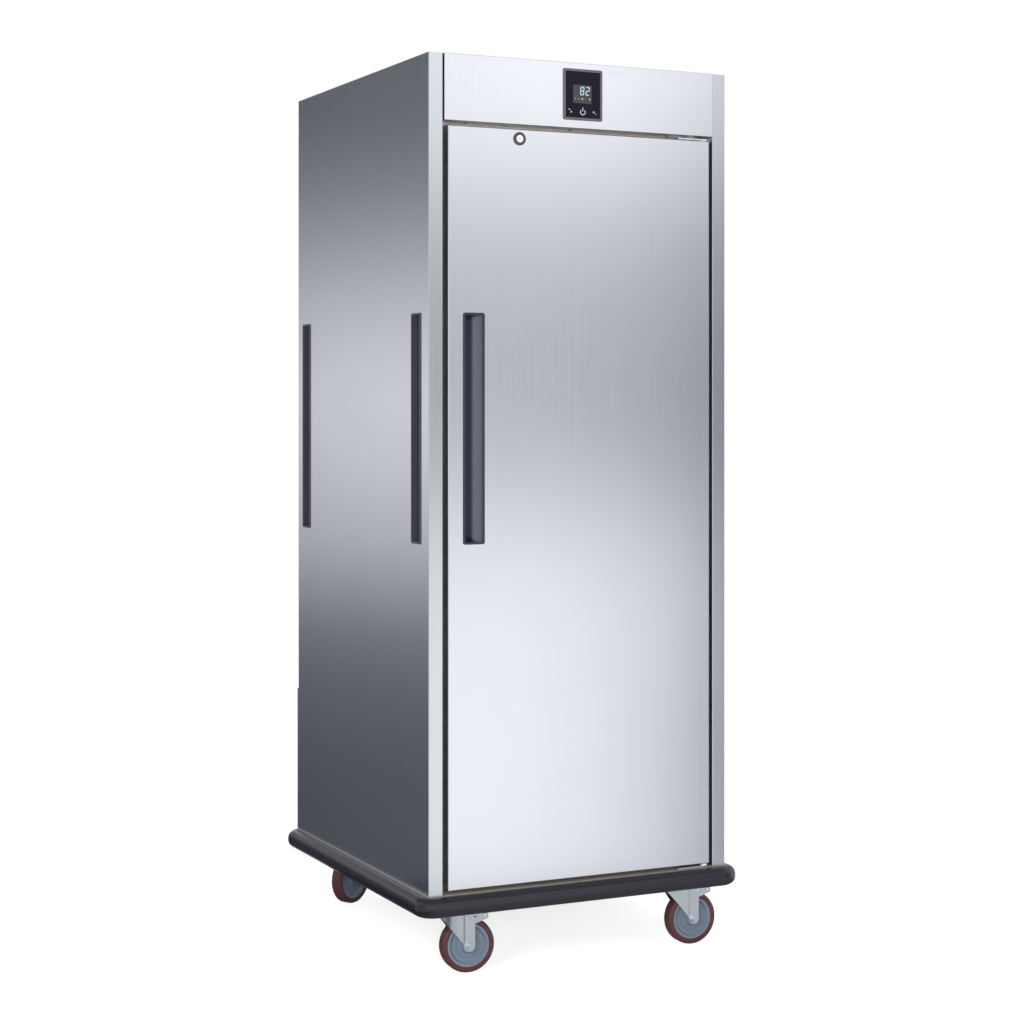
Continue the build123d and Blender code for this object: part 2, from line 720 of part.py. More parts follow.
# Door bushes that turn on the hinge pins
with BuildPart() as hinge_bushes:
    bore = hinge_pin + 2 * running_fit
    top_flange = hinge_clearance - running_gap
    bottom_flange = z_door - z_sill_plate - running_gap
    pin(Plane.XY.offset(z_door_top), hinge_axis, bush_flange, top_flange)
    pin(Plane.XY.offset(z_door_top), hinge_axis, bush_diameter, -bush_length)
    drill(Plane.XY.offset(z_door_top + top_flange), hinge_axis, bore, bush_length + top_flange)
    pin(Plane.XY.offset(z_door), hinge_axis, bush_flange, -bottom_flange)
    pin(Plane.XY.offset(z_door), hinge_axis, bush_diameter, bush_length)
    drill(Plane.XY.offset(z_door + bush_length), hinge_axis, bore, bush_length + bottom_flange)
save(hinge_bushes.part, "hinge_bushes")

# Tray racks: uprights against the liner and ledges on their faces, each a piece by itself
x_upright = x_cavity - upright_depth
ledge_levels = [z_floor + rack_first + level * rack_pitch for level in range(rack_levels)]
for side, side_name in ((-1, "left"), (1, "right")):
    rack_pieces = []
    for y in (y_frame + upright_inset, y_duct - upright_inset):
        with BuildPart() as upright:
            low = (side * x_upright, y - upright_width / 2, z_floor)
            block(low, (side * x_cavity, y + upright_width / 2, z_ceiling))
            hollow_half = upright_width / 2 - ledge_sheet
            low = (side * (x_upright + ledge_sheet), y - hollow_half, z_floor)
            block(low, (side * x_cavity, y + hollow_half, z_ceiling), mode=Mode.SUBTRACT)
        rack_pieces.append(upright.part)
    for z in ledge_levels:
        with BuildPart() as ledge:
            ledge_front = y_frame + ledge_end_gap
            ledge_rear = y_duct - ledge_end_gap
            block(
                (side * (x_upright - ledge_width), ledge_front, z - ledge_sheet),
                (side * x_upright, ledge_rear, z),
            )
            block(
                (side * (x_upright - ledge_sheet), ledge_front, z - ledge_drop),
                (side * x_upright, ledge_rear, z),
            )
        rack_pieces.append(ledge.part)
    save(Compound(rack_pieces), f"{side_name}_rack")


# Wire shelves that rest on the ledges
def wire(start, end, diameter):
    """A straight round wire between two points."""
    run = Vector(*end) - Vector(*start)
    with BuildSketch(Plane(origin=start, z_dir=run)) as section:
        Circle(diameter / 2)
    extrude(section.sketch, amount=run.length)


def wire_shelf(z_ledge):
    """One shelf: a thick rim, cross wires under the deck and thin wires that run front to back."""
    z_rim = z_ledge + shelf_lift + rim_wire / 2
    x_rim = x_upright - shelf_side_play - rim_wire / 2
    y_low = y_frame + shelf_end_gap + rim_wire / 2
    y_high = y_duct - shelf_end_gap - rim_wire / 2
    with BuildPart() as shelf:
        with BuildSketch(Plane.XY.offset(z_rim), mode=Mode.PRIVATE) as rim_outline:
            with Locations((0, (y_low + y_high) / 2)):
                RectangleRounded(2 * x_rim, y_high - y_low, rim_corner)
        rim_path = rim_outline.sketch.face().outer_wire()
        with BuildSketch(Plane(origin=rim_path @ 0, z_dir=rim_path % 0)):
            Circle(rim_wire / 2)
        sweep(path=rim_path)
        for share in (0.25, 0.5, 0.75):
            y = y_low + share * (y_high - y_low)
            wire((-x_rim, y, z_rim), (x_rim, y, z_rim), cross_wire)
        for count in range(shelf_wires):
            x = -x_rim + 2 * x_rim * (count + 1) / (shelf_wires + 1)
            z = z_rim + (cross_wire + shelf_wire) / 2 - 1.0
            wire((x, y_low, z), (x, y_high, z), shelf_wire)
    return shelf.part


for number, level in enumerate(shelf_levels, start=1):
    save(wire_shelf(ledge_levels[level]), f"wire_shelf_{number}")

# Air duct, a tray in front of the fan with an intake grille and outlet slots
x_duct = duct_width / 2
z_duct = z_floor + duct_margin
z_duct_top = z_ceiling - duct_margin
with BuildPart() as air_duct:
    block((-x_duct, y_duct, z_duct), (x_duct, y_cavity_rear, z_duct_top))
    offset(amount=-sheet, openings=air_duct.faces().sort_by(Axis.Y)[-1], kind=Kind.INTERSECTION)
    with BuildSketch(front_plane(y_duct)) as intake:
        for ring_radius, count in ((0.0, 1), (24.0, 8), (46.0, 14)):
            with Locations((0, z_fan)):
                with PolarLocations(ring_radius, count):
                    Circle(intake_hole / 2)
    extrude(amount=-2 * sheet, mode=Mode.SUBTRACT)
    with BuildSketch(front_plane(y_duct)) as outlets:
        with Locations((0, (z_duct + z_duct_top) / 2)):
            slot_spread = (z_duct_top - z_duct) / duct_slot_rows
            with GridLocations(duct_width - 60.0, slot_spread, 2, duct_slot_rows):
                SlotOverall(duct_slot_length, duct_slot_width, rotation=90)
    extrude(amount=-2 * sheet, mode=Mode.SUBTRACT)
save(air_duct.part, "air_duct")

# Fan motor behind the liner
with BuildPart() as fan_motor:
    pin(rear_plane(y_liner_rear), [(0, z_fan)], motor_flange, motor_flange_thickness)
    pin(rear_plane(y_liner_rear), [(0, z_fan)], motor_diameter, motor_length)
    fillet(fan_motor.faces().sort_by(Axis.Y)[-1].outer_wire().edges(), 4.0)
    drill(front_plane(y_liner_rear), [(0, z_fan)], shaft_diameter + 2 * running_fit, shaft_in_motor + 2.0)
save(fan_motor.part, "fan_motor")

# Fan impeller on its shaft
y_impeller = y_duct + sheet + fan_front_gap
with BuildPart() as fan_impeller:
    y_plate = y_impeller + fan_width
    pin(front_plane(y_plate), [(0, z_fan)], fan_diameter, fan_plate)
    pin(front_plane(y_plate), [(0, z_fan)], fan_hub, fan_width - 6.0)
    with BuildSketch(front_plane(y_plate)) as blades:
        with Locations((0, z_fan)):
            with PolarLocations(0.365 * fan_diameter, fan_blades):
                Rectangle(0.24 * fan_diameter, fan_plate, rotation=25)
    extrude(amount=fan_width)
    pin(rear_plane(y_plate), [(0, z_fan)], shaft_diameter, y_liner_rear + shaft_in_motor - y_plate)
save(fan_impeller.part, "fan_impeller")

# Heating element: a ring round the impeller, with two legs through the liner
y_ring = y_impeller + fan_width / 2
with BuildPart() as heating_element:
    ring_radius = heater_diameter / 2
    at_ring = Plane(origin=(0, y_ring, z_fan), x_dir=(1, 0, 0), z_dir=(0, -1, 0))
    with BuildLine(at_ring) as heater_path:
        CenterArc((0, 0), ring_radius, 90 + heater_gap_angle, 360 - 2 * heater_gap_angle)
    arc_start = heater_path.line @ 0
    arc_end = heater_path.line @ 1
    with BuildSketch(Plane(origin=arc_start, z_dir=heater_path.line % 0)):
        Circle(heater_tube / 2)
    sweep(path=heater_path.line)
    for end in (arc_start, arc_end):
        with Locations(end):
            Sphere(heater_tube / 2)
        wire(tuple(end), (end.X, y_liner_rear + heater_leg_tail, end.Z), heater_tube)
save(heating_element.part, "heating_element")

# Temperature probe in two clips under the ceiling
with BuildPart() as temperature_probe:
    y_probe = y_duct - probe_inset
    z_probe = z_ceiling - probe_diameter / 2 - 2.0
    wire((-probe_length / 2, y_probe, z_probe), (probe_length / 2, y_probe, z_probe), probe_diameter)
    for x in (-0.3 * probe_length, 0.3 * probe_length):
        z_clip = z_probe - probe_diameter / 2 - 1.0
        block((x - clip_width / 2, y_probe - 4.0, z_clip), (x + clip_width / 2, y_probe + 4.0, z_ceiling))
save(temperature_probe.part, "temperature_probe")

# Rear cover over the motor, with louvre slots and dished screw seats
x_cover = x_side - cover_inset
at_cover = flipped(cover_screws_at)
with BuildPart() as rear_cover:
    block((-x_cover, y_rear, z_cover), (x_cover, y_cover, z_cover_top))
    fillet(rear_cover.faces().sort_by(Axis.Y)[-1].outer_wire().edges(), bend_radius)
    offset(amount=-sheet, openings=rear_cover.faces().sort_by(Axis.Y)[0])
    pin(rear_plane(y_rear), at_cover, seat_diameter + 2 * sheet, cover_depth - sheet / 2)
    drill(rear_plane(y_cover), at_cover, seat_diameter, cover_depth - sheet)
    drill(rear_plane(y_cover), at_cover, screw_hole, cover_depth)
    with BuildSketch(rear_plane(y_cover)) as louvres:
        with Locations((0, z_fan)):
            with GridLocations(1.4 * louvre_length, louvre_pitch, 2, louvre_rows):
                SlotOverall(louvre_length, louvre_width)
    extrude(amount=-2 * sheet, mode=Mode.SUBTRACT)
    window(rear_plane(y_cover), (-inlet_x, z_inlet), inlet_width + 1.0, inlet_height + 1.0, 3.0, 2 * sheet)
save(rear_cover.part, "rear_cover")

# Power inlet: a recessed socket with three blades
with BuildPart() as power_inlet:
    at_inlet = (-inlet_x, z_inlet)
    flange_width = inlet_width + 2 * inlet_flange_margin
    flange_height = inlet_height + 2 * inlet_flange_margin
    window(rear_plane(y_cover), at_inlet, flange_width, flange_height, 4.0, -inlet_flange, mode=Mode.ADD)
    window(rear_plane(y_cover), at_inlet, inlet_width, inlet_height, 2.5, inlet_depth, mode=Mode.ADD)
    recess_size = (inlet_width - 2 * inlet_wall, inlet_height - 2 * inlet_wall)
    window(rear_plane(y_cover + inlet_flange), at_inlet, *recess_size, 2.0, inlet_recess + inlet_flange)
    with BuildSketch(rear_plane(y_cover - inlet_recess)) as blades:
        with Locations(at_inlet):
            with Locations((0, 5.0), (-12.0, -3.0), (12.0, -3.0)):
                Rectangle(blade_thickness, blade_width)
    extrude(amount=blade_length)
save(power_inlet.part, "power_inlet")

# Castor places: each frame stands on the floor under a kingpin and is turned with its fork
castor_names = ["front_left", "front_right", "rear_left", "rear_right"]
axle_height = wheel_diameter / 2
z_castor_plate = castor_height - castor_plate
z_race = z_castor_plate - race_height


def kingpin_place(name):
    """Where one kingpin stands."""
    inset = kingpin_inset_rear if "rear" in name else kingpin_inset_front
    x = (x_side - inset) * (1 if "right" in name else -1)
    y = (y_rear - kingpin_inset_y) * (1 if "rear" in name else -1)
    return (x, y)


def castor_frame(name):
    """A plane on the floor under one kingpin: its x trails, and its y runs along the axle."""
    turn = radians(castor_turns[name])
    return Plane(origin=(*kingpin_place(name), 0), x_dir=(cos(turn), sin(turn), 0), z_dir=(0, 0, 1))


kingpins = [kingpin_place(name) for name in castor_names]
bolts_at = [
    (x + dx * bolt_spacing_x / 2, y + dy * bolt_spacing_y / 2)
    for x, y in kingpins
    for dx in (-1, 1)
    for dy in (-1, 1)
]

# Chassis: channel rails round the edge, a cross member and corner plates for the castors
with BuildPart() as base_frame:
    block((-x_side, y_front, rail_bottom), (x_side, y_rear, z_deck))
    half_cross = cross_member / 2
    for y_low, y_high in ((y_front + rail_width, -half_cross), (half_cross, y_rear - rail_width)):
        low = (-x_side + rail_width, y_low, rail_bottom - 1)
        block(low, (x_side - rail_width, y_high, z_deck + 1), mode=Mode.SUBTRACT)
    y_open = y_front + rail_wall
    x_open = x_side - rail_wall
    half_channel = half_cross - rail_wall
    for y_low, y_high in ((y_open, -half_cross), (half_cross, -y_open), (-half_channel, half_channel)):
        low = (-x_open, y_low, rail_bottom + rail_wall)
        block(low, (x_open, y_high, z_deck - rail_wall), mode=Mode.SUBTRACT)
    channel_low = (-x_side + rail_width, -half_channel, rail_bottom - 1)
    block(channel_low, (x_side - rail_width, half_channel, z_deck - rail_wall), mode=Mode.SUBTRACT)
    for side in (-1, 1):
        for end in (-1, 1):
            low = (side * (x_side - corner_plate_x), end * (y_rear - corner_plate_y), castor_height)
            block(low, (side * x_side, end * y_rear, rail_bottom))
    drill(Plane.XY.offset(rail_bottom), bolts_at, bolt_hole, corner_plate)
save(base_frame.part, "base_frame")

# Bumper: a rounded rubber ring round the chassis, with a lip against the cabinet
with BuildPart() as bumper:
    bumper_size = (body_width + 2 * bumper_reach, body_depth + 2 * bumper_reach)
    with BuildSketch(Plane.XY.offset(z_deck - bumper_height)):
        RectangleRounded(*bumper_size, bumper_corner)
        Rectangle(body_width, body_depth, mode=Mode.SUBTRACT)
    extrude(amount=bumper_height)
    for face in (bumper.faces().sort_by(Axis.Z)[0], bumper.faces().sort_by(Axis.Z)[-1]):
        fillet(face.outer_wire().edges(), bumper_edge)
    lip_size = (body_width + 2 * bumper_lip_width, body_depth + 2 * bumper_lip_width)
    border(Plane.XY.offset(z_deck), (0, 0), *lip_size, bumper_lip_width, bumper_lip)
save(bumper.part, "bumper")

# Castor top plates, each with its race, kingpin and nut
with BuildPart() as castor_plates:
    with BuildSketch(Plane.XY.offset(z_castor_plate)):
        with Locations(*kingpins):
            RectangleRounded(castor_plate_x, castor_plate_y, 8.0)
    extrude(amount=castor_plate)
    pin(Plane.XY.offset(z_castor_plate), kingpins, race_diameter, -race_height)
    z_king_nut = fork_head_top - fork_head - race_gap
    pin(Plane.XY.offset(z_race), kingpins, kingpin_diameter, z_king_nut - kingpin_nut_height - z_race)
    hexagon(Plane.XY.offset(z_king_nut), kingpins, kingpin_nut, -kingpin_nut_height)
    drill(Plane.XY.offset(castor_height), bolts_at, bolt_hole, castor_plate)
save(castor_plates.part, "castor_plates")

# Castor bolts, with their heads under the top plates and their nuts on the corner plates
with BuildPart() as castor_bolts:
    hexagon(Plane.XY.offset(z_castor_plate), bolts_at, bolt_head_width, -bolt_head_height)
    bolt_reach = castor_plate + corner_plate + nut_height + thread_end
    pin(Plane.XY.offset(z_castor_plate), bolts_at, bolt_diameter, bolt_reach)
    hexagon(Plane.XY.offset(rail_bottom), bolts_at, bolt_head_width, nut_height)
save(castor_bolts.part, "castor_bolts")


def fork_plan(setback, reach, half_width):
    """The plan of a fork: half an ellipse for the nose, and straight sides back to its reach."""
    with Locations((-nose_setback, 0)):
        Ellipse(fork_nose - nose_setback - setback, half_width)
    with Locations(((reach - nose_setback) / 2, 0)):
        Rectangle(reach + nose_setback, 2 * half_width)


def castor_fork(frame):
    """A pressed fork: legs round a curved nose, a flat head and the ring that turns under the race."""
    side = Plane(origin=frame.origin, x_dir=frame.x_dir, z_dir=-frame.y_dir)
    strap_left = castor_trail - strap_half_width
    strap_right = castor_trail + strap_half_width
    with BuildPart() as fork:
        with BuildSketch(frame):
            fork_plan(0.0, fork_arm, fork_half_width)
        extrude(amount=fork_head_top)
        with BuildSketch(frame):
            fork_plan(fork_sheet, fork_arm + 1.0, fork_half_width - fork_sheet)
        extrude(amount=fork_head_top - fork_head, mode=Mode.SUBTRACT)
        with BuildSketch(side):
            with BuildLine():
                Polyline(
                    (-fork_nose - 1.0, fork_head_top),
                    (-fork_nose - 1.0, fork_head_top - 8.0),
                    (strap_left, axle_height + 4.0),
                    (strap_left, axle_height),
                    (strap_right, axle_height),
                    (strap_right, fork_head_top - fork_neck_height),
                    (fork_arm, fork_head_top - fork_arm_height),
                    (fork_arm, fork_head_top),
                    close=True,
                )
            make_face()
            with Locations((castor_trail, axle_height)):
                Circle(strap_half_width)
        extrude(amount=fork_half_width, both=True, mode=Mode.INTERSECT)
        with BuildSketch(frame.offset(fork_head_top - fork_head - 1.0)):
            arm_start = head_ring_diameter / 2 + 4.0
            with Locations(((arm_start + fork_arm) / 2 + 1.0, 0)):
                Rectangle(fork_arm - arm_start + 2.0, 2 * (fork_half_width - fork_sheet))
        extrude(amount=fork_head + 2.0, mode=Mode.SUBTRACT)
        fillet(fork.faces().sort_by(Axis.Z)[-1].outer_wire().edges(), fork_edge)
        pin(frame.offset(fork_head_top), [(0, 0)], head_ring_diameter, z_race - race_gap - fork_head_top)
        fillet(fork.faces().sort_by(Axis.Z)[-1].outer_wire().edges(), 2.0)
        drill(frame.offset(z_race), [(0, 0)], kingpin_diameter + 4 * running_fit, race_height + fork_head + 1.0)
        z_pivot = fork_head_top - pivot_drop
        with BuildSketch(side):
            with Locations((castor_trail, axle_height)):
                Circle(axle_diameter / 2 + running_fit)
            with Locations((fork_arm - 6.0, z_pivot), (fork_arm - 30.0, z_pivot)):
                Circle(pivot_hole / 2)
        extrude(amount=fork_half_width + 1.0, both=True, mode=Mode.SUBTRACT)
    return fork.part


def axle_centre(frame):
    """The middle of one castor's axle, behind its kingpin by the trail."""
    return frame.origin + frame.x_dir * castor_trail + frame.z_dir * axle_height


def castor_axle(frame):
    """An axle bolt through the fork, its nut and washers, and the sleeve that the hub turns on."""
    centre = axle_centre(frame)
    near = Plane(origin=centre - frame.y_dir * fork_half_width, x_dir=frame.x_dir, z_dir=-frame.y_dir)
    far = Plane(origin=centre + frame.y_dir * fork_half_width, x_dir=frame.x_dir, z_dir=frame.y_dir)
    with BuildPart() as bolt:
        pin(far, [(0, 0)], washer_diameter, washer_thickness)
        hexagon(far.offset(washer_thickness), [(0, 0)], axle_head_width, axle_head_height)
        grip_length_in_fork = 2 * fork_half_width + washer_thickness + axle_head_height + thread_end
        pin(far, [(0, 0)], axle_diameter, -grip_length_in_fork)
    with BuildPart() as nut:
        pin(near, [(0, 0)], washer_diameter, washer_thickness)
        hexagon(near.offset(washer_thickness), [(0, 0)], axle_head_width, axle_head_height)
        nut_bore = axle_diameter + 2 * running_fit
        drill(near.offset(washer_thickness + axle_head_height), [(0, 0)], nut_bore, 2 * axle_head_height)
    with BuildPart() as sleeve:
        inside = fork_half_width - fork_sheet
        pin(near.offset(-fork_sheet), [(0, 0)], sleeve_diameter, -2 * inside)
        drill(near, [(0, 0)], axle_diameter + 2 * running_fit, 2 * fork_half_width)
    return Compound([bolt.part, nut.part, sleeve.part])


def wheel_profile_plane(frame):
    """A plane through the axle: its x runs along the axle and its y is the radius."""
    return Plane(origin=axle_centre(frame), x_dir=frame.y_dir, z_dir=frame.x_dir)


def spun(frame, half_profile, corner_radius=0.0):
    """A wheel piece turned from half a profile of (width, radius) points, mirrored across the wheel."""
    section = wheel_profile_plane(frame)
    points = half_profile + [(-width, radius) for width, radius in reversed(half_profile)]
    with BuildPart() as piece:
        with BuildSketch(section) as profile:
            with BuildLine():
                Polyline(*points, close=True)
            make_face()
            if corner_radius:
                fillet(profile.vertices().group_by(Axis.Y)[-1], corner_radius)
        revolve(axis=Axis(section.origin, frame.y_dir))
    return piece.part


def castor_hub(frame):
    """The hub, with a boss, a dished web that has one raised ring, and a rim."""
    rim_radius = hub_diameter / 2
    boss_radius = sleeve_diameter / 2 + 8.0
    half_rim = rim_width / 2
    web = 0.25 * rim_width
    ring_radius = (boss_radius + rim_radius - 9.0) / 2
    profile = [
        (hub_width / 2, sleeve_diameter / 2 + running_fit),
        (hub_width / 2, boss_radius - 1.5),
        (hub_width / 2 - 1.5, boss_radius),
        (web + 2.0, boss_radius + 2.5),
        (web + 1.0, ring_radius - 2.5),
        (web + 2.5, ring_radius - 1.0),
        (web + 2.5, ring_radius + 1.0),
        (web, ring_radius + 2.5),
        (web, rim_radius - 10.0),
        (half_rim - 1.5, rim_radius - 6.5),
        (half_rim, rim_radius - 5.5),
        (half_rim, rim_radius),
    ]
    return spun(frame, profile)


def castor_tread(frame):
    """The tread, which laps over the rim a little and has rounded shoulders."""
    rim_radius = hub_diameter / 2
    half_rim = rim_width / 2
    half_tread = tread_width / 2
    profile = [
        (half_rim, rim_radius),
        (half_tread, rim_radius + 2.0),
        (half_tread, wheel_diameter / 2),
    ]
    return spun(frame, profile, tread_shoulder)


for name in castor_names:
    frame = castor_frame(name)
    save(castor_fork(frame), f"{name}_fork")
    save(castor_axle(frame), f"{name}_axle")
    save(castor_hub(frame), f"{name}_hub")
    save(castor_tread(frame), f"{name}_tread")


def screws(plane, points, depth):
    """Screws whose heads stand on a plane and whose shanks go in by depth and a short tail."""
    pin(plane, points, screw_head, screw_head_height)
    pin(plane, points, screw_diameter, -(depth + screw_tail))


# Screws of the cabinet
with BuildPart() as cabinet_screws:
    screws(rear_plane(y_rear), flipped(rear_screws_at), 2 * sheet)
    screws(rear_plane(y_rear + sheet), flipped(cover_screws_at), 3 * sheet)
    screws(Plane(origin=(0, 0, z_header), x_dir=(-1, 0, 0), z_dir=(0, 0, -1)), flipped(header_screws_at), 2 * sheet)
    screws(front_plane(y_frame - hinge_plate), hinge_screws_at, hinge_plate + sheet)
    screws(Plane.XY.offset(z_sill_plate), sill_screws_at, hinge_plate + pan_sheet)
save(cabinet_screws.part, "cabinet_screws")
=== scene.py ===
# %% [markdown]
# A heated banquet cart keeps plated meals hot on their way from the kitchen to the hall.
# Its sheet metal, castors and joints come from CAD, and this script loads them as a fixed frame.
# Around that frame it adds the small pieces that CAD leaves out, gives each surface its finish,
# and sets up a camera and a soft studio.

import math

import bmesh
import bpy
from mathutils import Matrix, Vector


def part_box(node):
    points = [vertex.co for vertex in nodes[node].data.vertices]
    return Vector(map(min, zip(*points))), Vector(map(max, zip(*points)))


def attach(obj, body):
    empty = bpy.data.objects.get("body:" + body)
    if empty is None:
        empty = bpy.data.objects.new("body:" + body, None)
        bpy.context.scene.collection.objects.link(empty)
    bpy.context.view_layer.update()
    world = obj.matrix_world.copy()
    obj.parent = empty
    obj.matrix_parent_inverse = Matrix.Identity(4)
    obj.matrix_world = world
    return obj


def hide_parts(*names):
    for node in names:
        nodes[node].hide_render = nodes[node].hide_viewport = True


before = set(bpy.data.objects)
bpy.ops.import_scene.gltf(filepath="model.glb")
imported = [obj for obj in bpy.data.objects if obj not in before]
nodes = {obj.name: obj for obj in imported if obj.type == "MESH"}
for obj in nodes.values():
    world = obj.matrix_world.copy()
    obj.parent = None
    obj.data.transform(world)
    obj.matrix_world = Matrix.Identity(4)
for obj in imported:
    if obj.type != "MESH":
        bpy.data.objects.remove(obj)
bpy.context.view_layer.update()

# %% [markdown]
# The camera comes first, because every look at the model is through it. The photograph was taken
# from the front left, at about chest height and from five metres away. A long lens keeps the
# verticals nearly parallel. The picture is cropped a little high, and a vertical shift gives that
# without tilting the camera, so the posts stay upright as in the photograph.

# %% Camera
camera_data = bpy.data.cameras.new("photo_camera")
camera_data.sensor_width = 36.0
camera_data.lens = 73.77
camera_data.shift_y = -0.1024
camera = bpy.data.objects.new("photo_camera", camera_data)
camera.location = (-2.1436, -4.5065, 1.228)
camera.rotation_euler = (math.radians(90.0), 0.0, math.radians(-25.689))
bpy.context.scene.collection.objects.link(camera)
bpy.context.scene.camera = camera
bpy.context.scene.view_settings.view_transform = "Standard"
print("camera:", tuple(camera.location), "lens", camera_data.lens)

# %% [markdown]
# Shader maths is easier to read as Python. A Signal wraps one socket of a material's node tree,
# so that adding, multiplying or mixing signals adds the nodes that do it.
# Colours are mixed with Mix nodes, because a Math node would turn them grey.


# %% Signals
class Signal:
    """One output socket of a node tree, which Python's operators can work on."""

    def __init__(self, tree, socket):
        self.tree = tree
        self.socket = socket

    def node(self, kind, settings=None, inputs=None, output=0):
        """Adds any other node: its settings first, then its inputs, by name or by number."""
        made = self.tree.nodes.new(kind)
        for name, value in (settings or {}).items():
            if name == "stops":
                set_stops(made.color_ramp, value)
            else:
                setattr(made, name, value)
        for name, value in (inputs or {}).items():
            if isinstance(value, Signal):
                self.tree.links.new(value.socket, made.inputs[name])
            else:
                made.inputs[name].default_value = value
        return Signal(self.tree, made.outputs[output] if made.outputs else None)

    def maths(self, operation, *values):
        return self.node("ShaderNodeMath", {"operation": operation}, dict(enumerate(values)))

    def __add__(self, other):
        return self.maths("ADD", self, other)

    __radd__ = __add__

    def __mul__(self, other):
        return self.maths("MULTIPLY", self, other)

    __rmul__ = __mul__

    def __sub__(self, other):
        return self.maths("SUBTRACT", self, other)

    def __rsub__(self, other):
        return self.maths("SUBTRACT", other, self)

    def between(self, low, high):
        """Stretches the values from low to high over 0 to 1, and clamps them there."""
        ends = {"Value": self, "From Min": low, "From Max": high}
        return self.node("ShaderNodeMapRange", None, ends)

    def tint(self, first, second):
        """A colour between two colours or colour signals, with this signal as the factor."""
        first, second = (c if isinstance(c, Signal) else (*c, 1.0) for c in (first, second))
        colours = {0: self, 6: first, 7: second}
        return self.node("ShaderNodeMix", {"data_type": "RGBA"}, colours, output=2)

    def axis(self, name):
        """One coordinate of a vector signal."""
        number = "XYZ".index(name)
        return self.node("ShaderNodeSeparateXYZ", None, {"Vector": self}, output=number)

    def speckle(self, size, stretch=(1.0, 1.0, 1.0), detail=2.0, shift=0.0):
        """Noise with grains about size metres across, drawn out where the stretch is above 1."""
        scales = tuple(1.0 / s for s in stretch)
        spot = {"Vector": self, "Location": (shift,) * 3, "Scale": scales}
        placed = self.node("ShaderNodeMapping", None, spot)
        grains = {"Vector": placed, "Scale": 0.5 / size, "Detail": detail}
        return self.node("ShaderNodeTexNoise", None, grains)


def set_stops(ramp, stops):
    """Sets the stops of a colour ramp, each a place and a grey."""
    while len(ramp.elements) < len(stops):
        ramp.elements.new(1.0)
    for element, (place, grey) in zip(ramp.elements, stops):
        element.position = place
        element.color = (grey, grey, grey, 1.0)


# %% [markdown]
# The studio is a white room with a pale floor. The world is white wherever the camera or a
# reflection looks at it, and weaker where it lights the cart, so that the lamps can shape it. The
# floor is a little bright by itself, so it reads as white and still takes the cart's shadow.

# %% World and floor
ambient = 0.55
white = 1.0
world = bpy.data.worlds.new("white_room")
bpy.context.scene.world = world
world.use_nodes = True
world.node_tree.nodes.clear()
ray = world.node_tree.nodes.new("ShaderNodeLightPath")
camera_ray = Signal(world.node_tree, ray.outputs["Is Camera Ray"])
glossy_ray = Signal(world.node_tree, ray.outputs["Is Glossy Ray"])
transmission_ray = Signal(world.node_tree, ray.outputs["Is Transmission Ray"])
looked_at = (camera_ray + glossy_ray + transmission_ray).between(0.0, 1.0)
brightness = ambient + (white - ambient) * looked_at
sky_light = {"Color": (1.0, 1.0, 1.0, 1.0), "Strength": brightness}
sky = camera_ray.node("ShaderNodeBackground", None, sky_light)
sky.node("ShaderNodeOutputWorld", None, {"Surface": sky})

floor_half = 30.0
floor_colour = (0.52, 0.52, 0.52, 1.0)
floor_glow = 0.76
mesh = bmesh.new()
bmesh.ops.create_grid(mesh, x_segments=1, y_segments=1, size=floor_half)
floor_mesh = bpy.data.meshes.new("floor")
mesh.to_mesh(floor_mesh)
mesh.free()
floor = bpy.data.objects.new("floor", floor_mesh)
bpy.context.scene.collection.objects.link(floor)
floor.visible_glossy = False
paint = bpy.data.materials.new("pale_floor")
paint.use_nodes = True
paint.node_tree.nodes.clear()
ray = paint.node_tree.nodes.new("ShaderNodeLightPath")
seen = Signal(paint.node_tree, ray.outputs["Is Camera Ray"])
matt = seen.node("ShaderNodeBsdfDiffuse", None, {"Color": floor_colour})
glow = seen.node("ShaderNodeEmission", None, {"Strength": floor_glow * seen})
both = seen.node("ShaderNodeAddShader", None, {0: matt, 1: glow})
both.node("ShaderNodeOutputMaterial", None, {"Surface": both})
floor_mesh.materials.append(paint)
print("world and floor ready")

# %% [markdown]
# Satin steel has hardly a colour of its own: it shows the room. A photographer shapes it with
# cards. One graded card stands behind the cart on the left, where the side panel looks, and gives
# the panel its dark foot, light middle and grey top. Another stands in front on the right, where
# the door looks, and one behind on the right shapes the rear panel. A grey one on the left keeps
# the folds of the posts from glaring, and another grey one hangs overhead. One on the floor stands
# for the shade under the cart, which the zinc of the castors shows. Only reflections see the cards,
# so they cast no shadow and never show in a view.


# %% Reflection cards
card_dark = (0.0, 0.0, 0.022)
card_light = (1.0, 1.0, 1.02)
card_z = 1.2


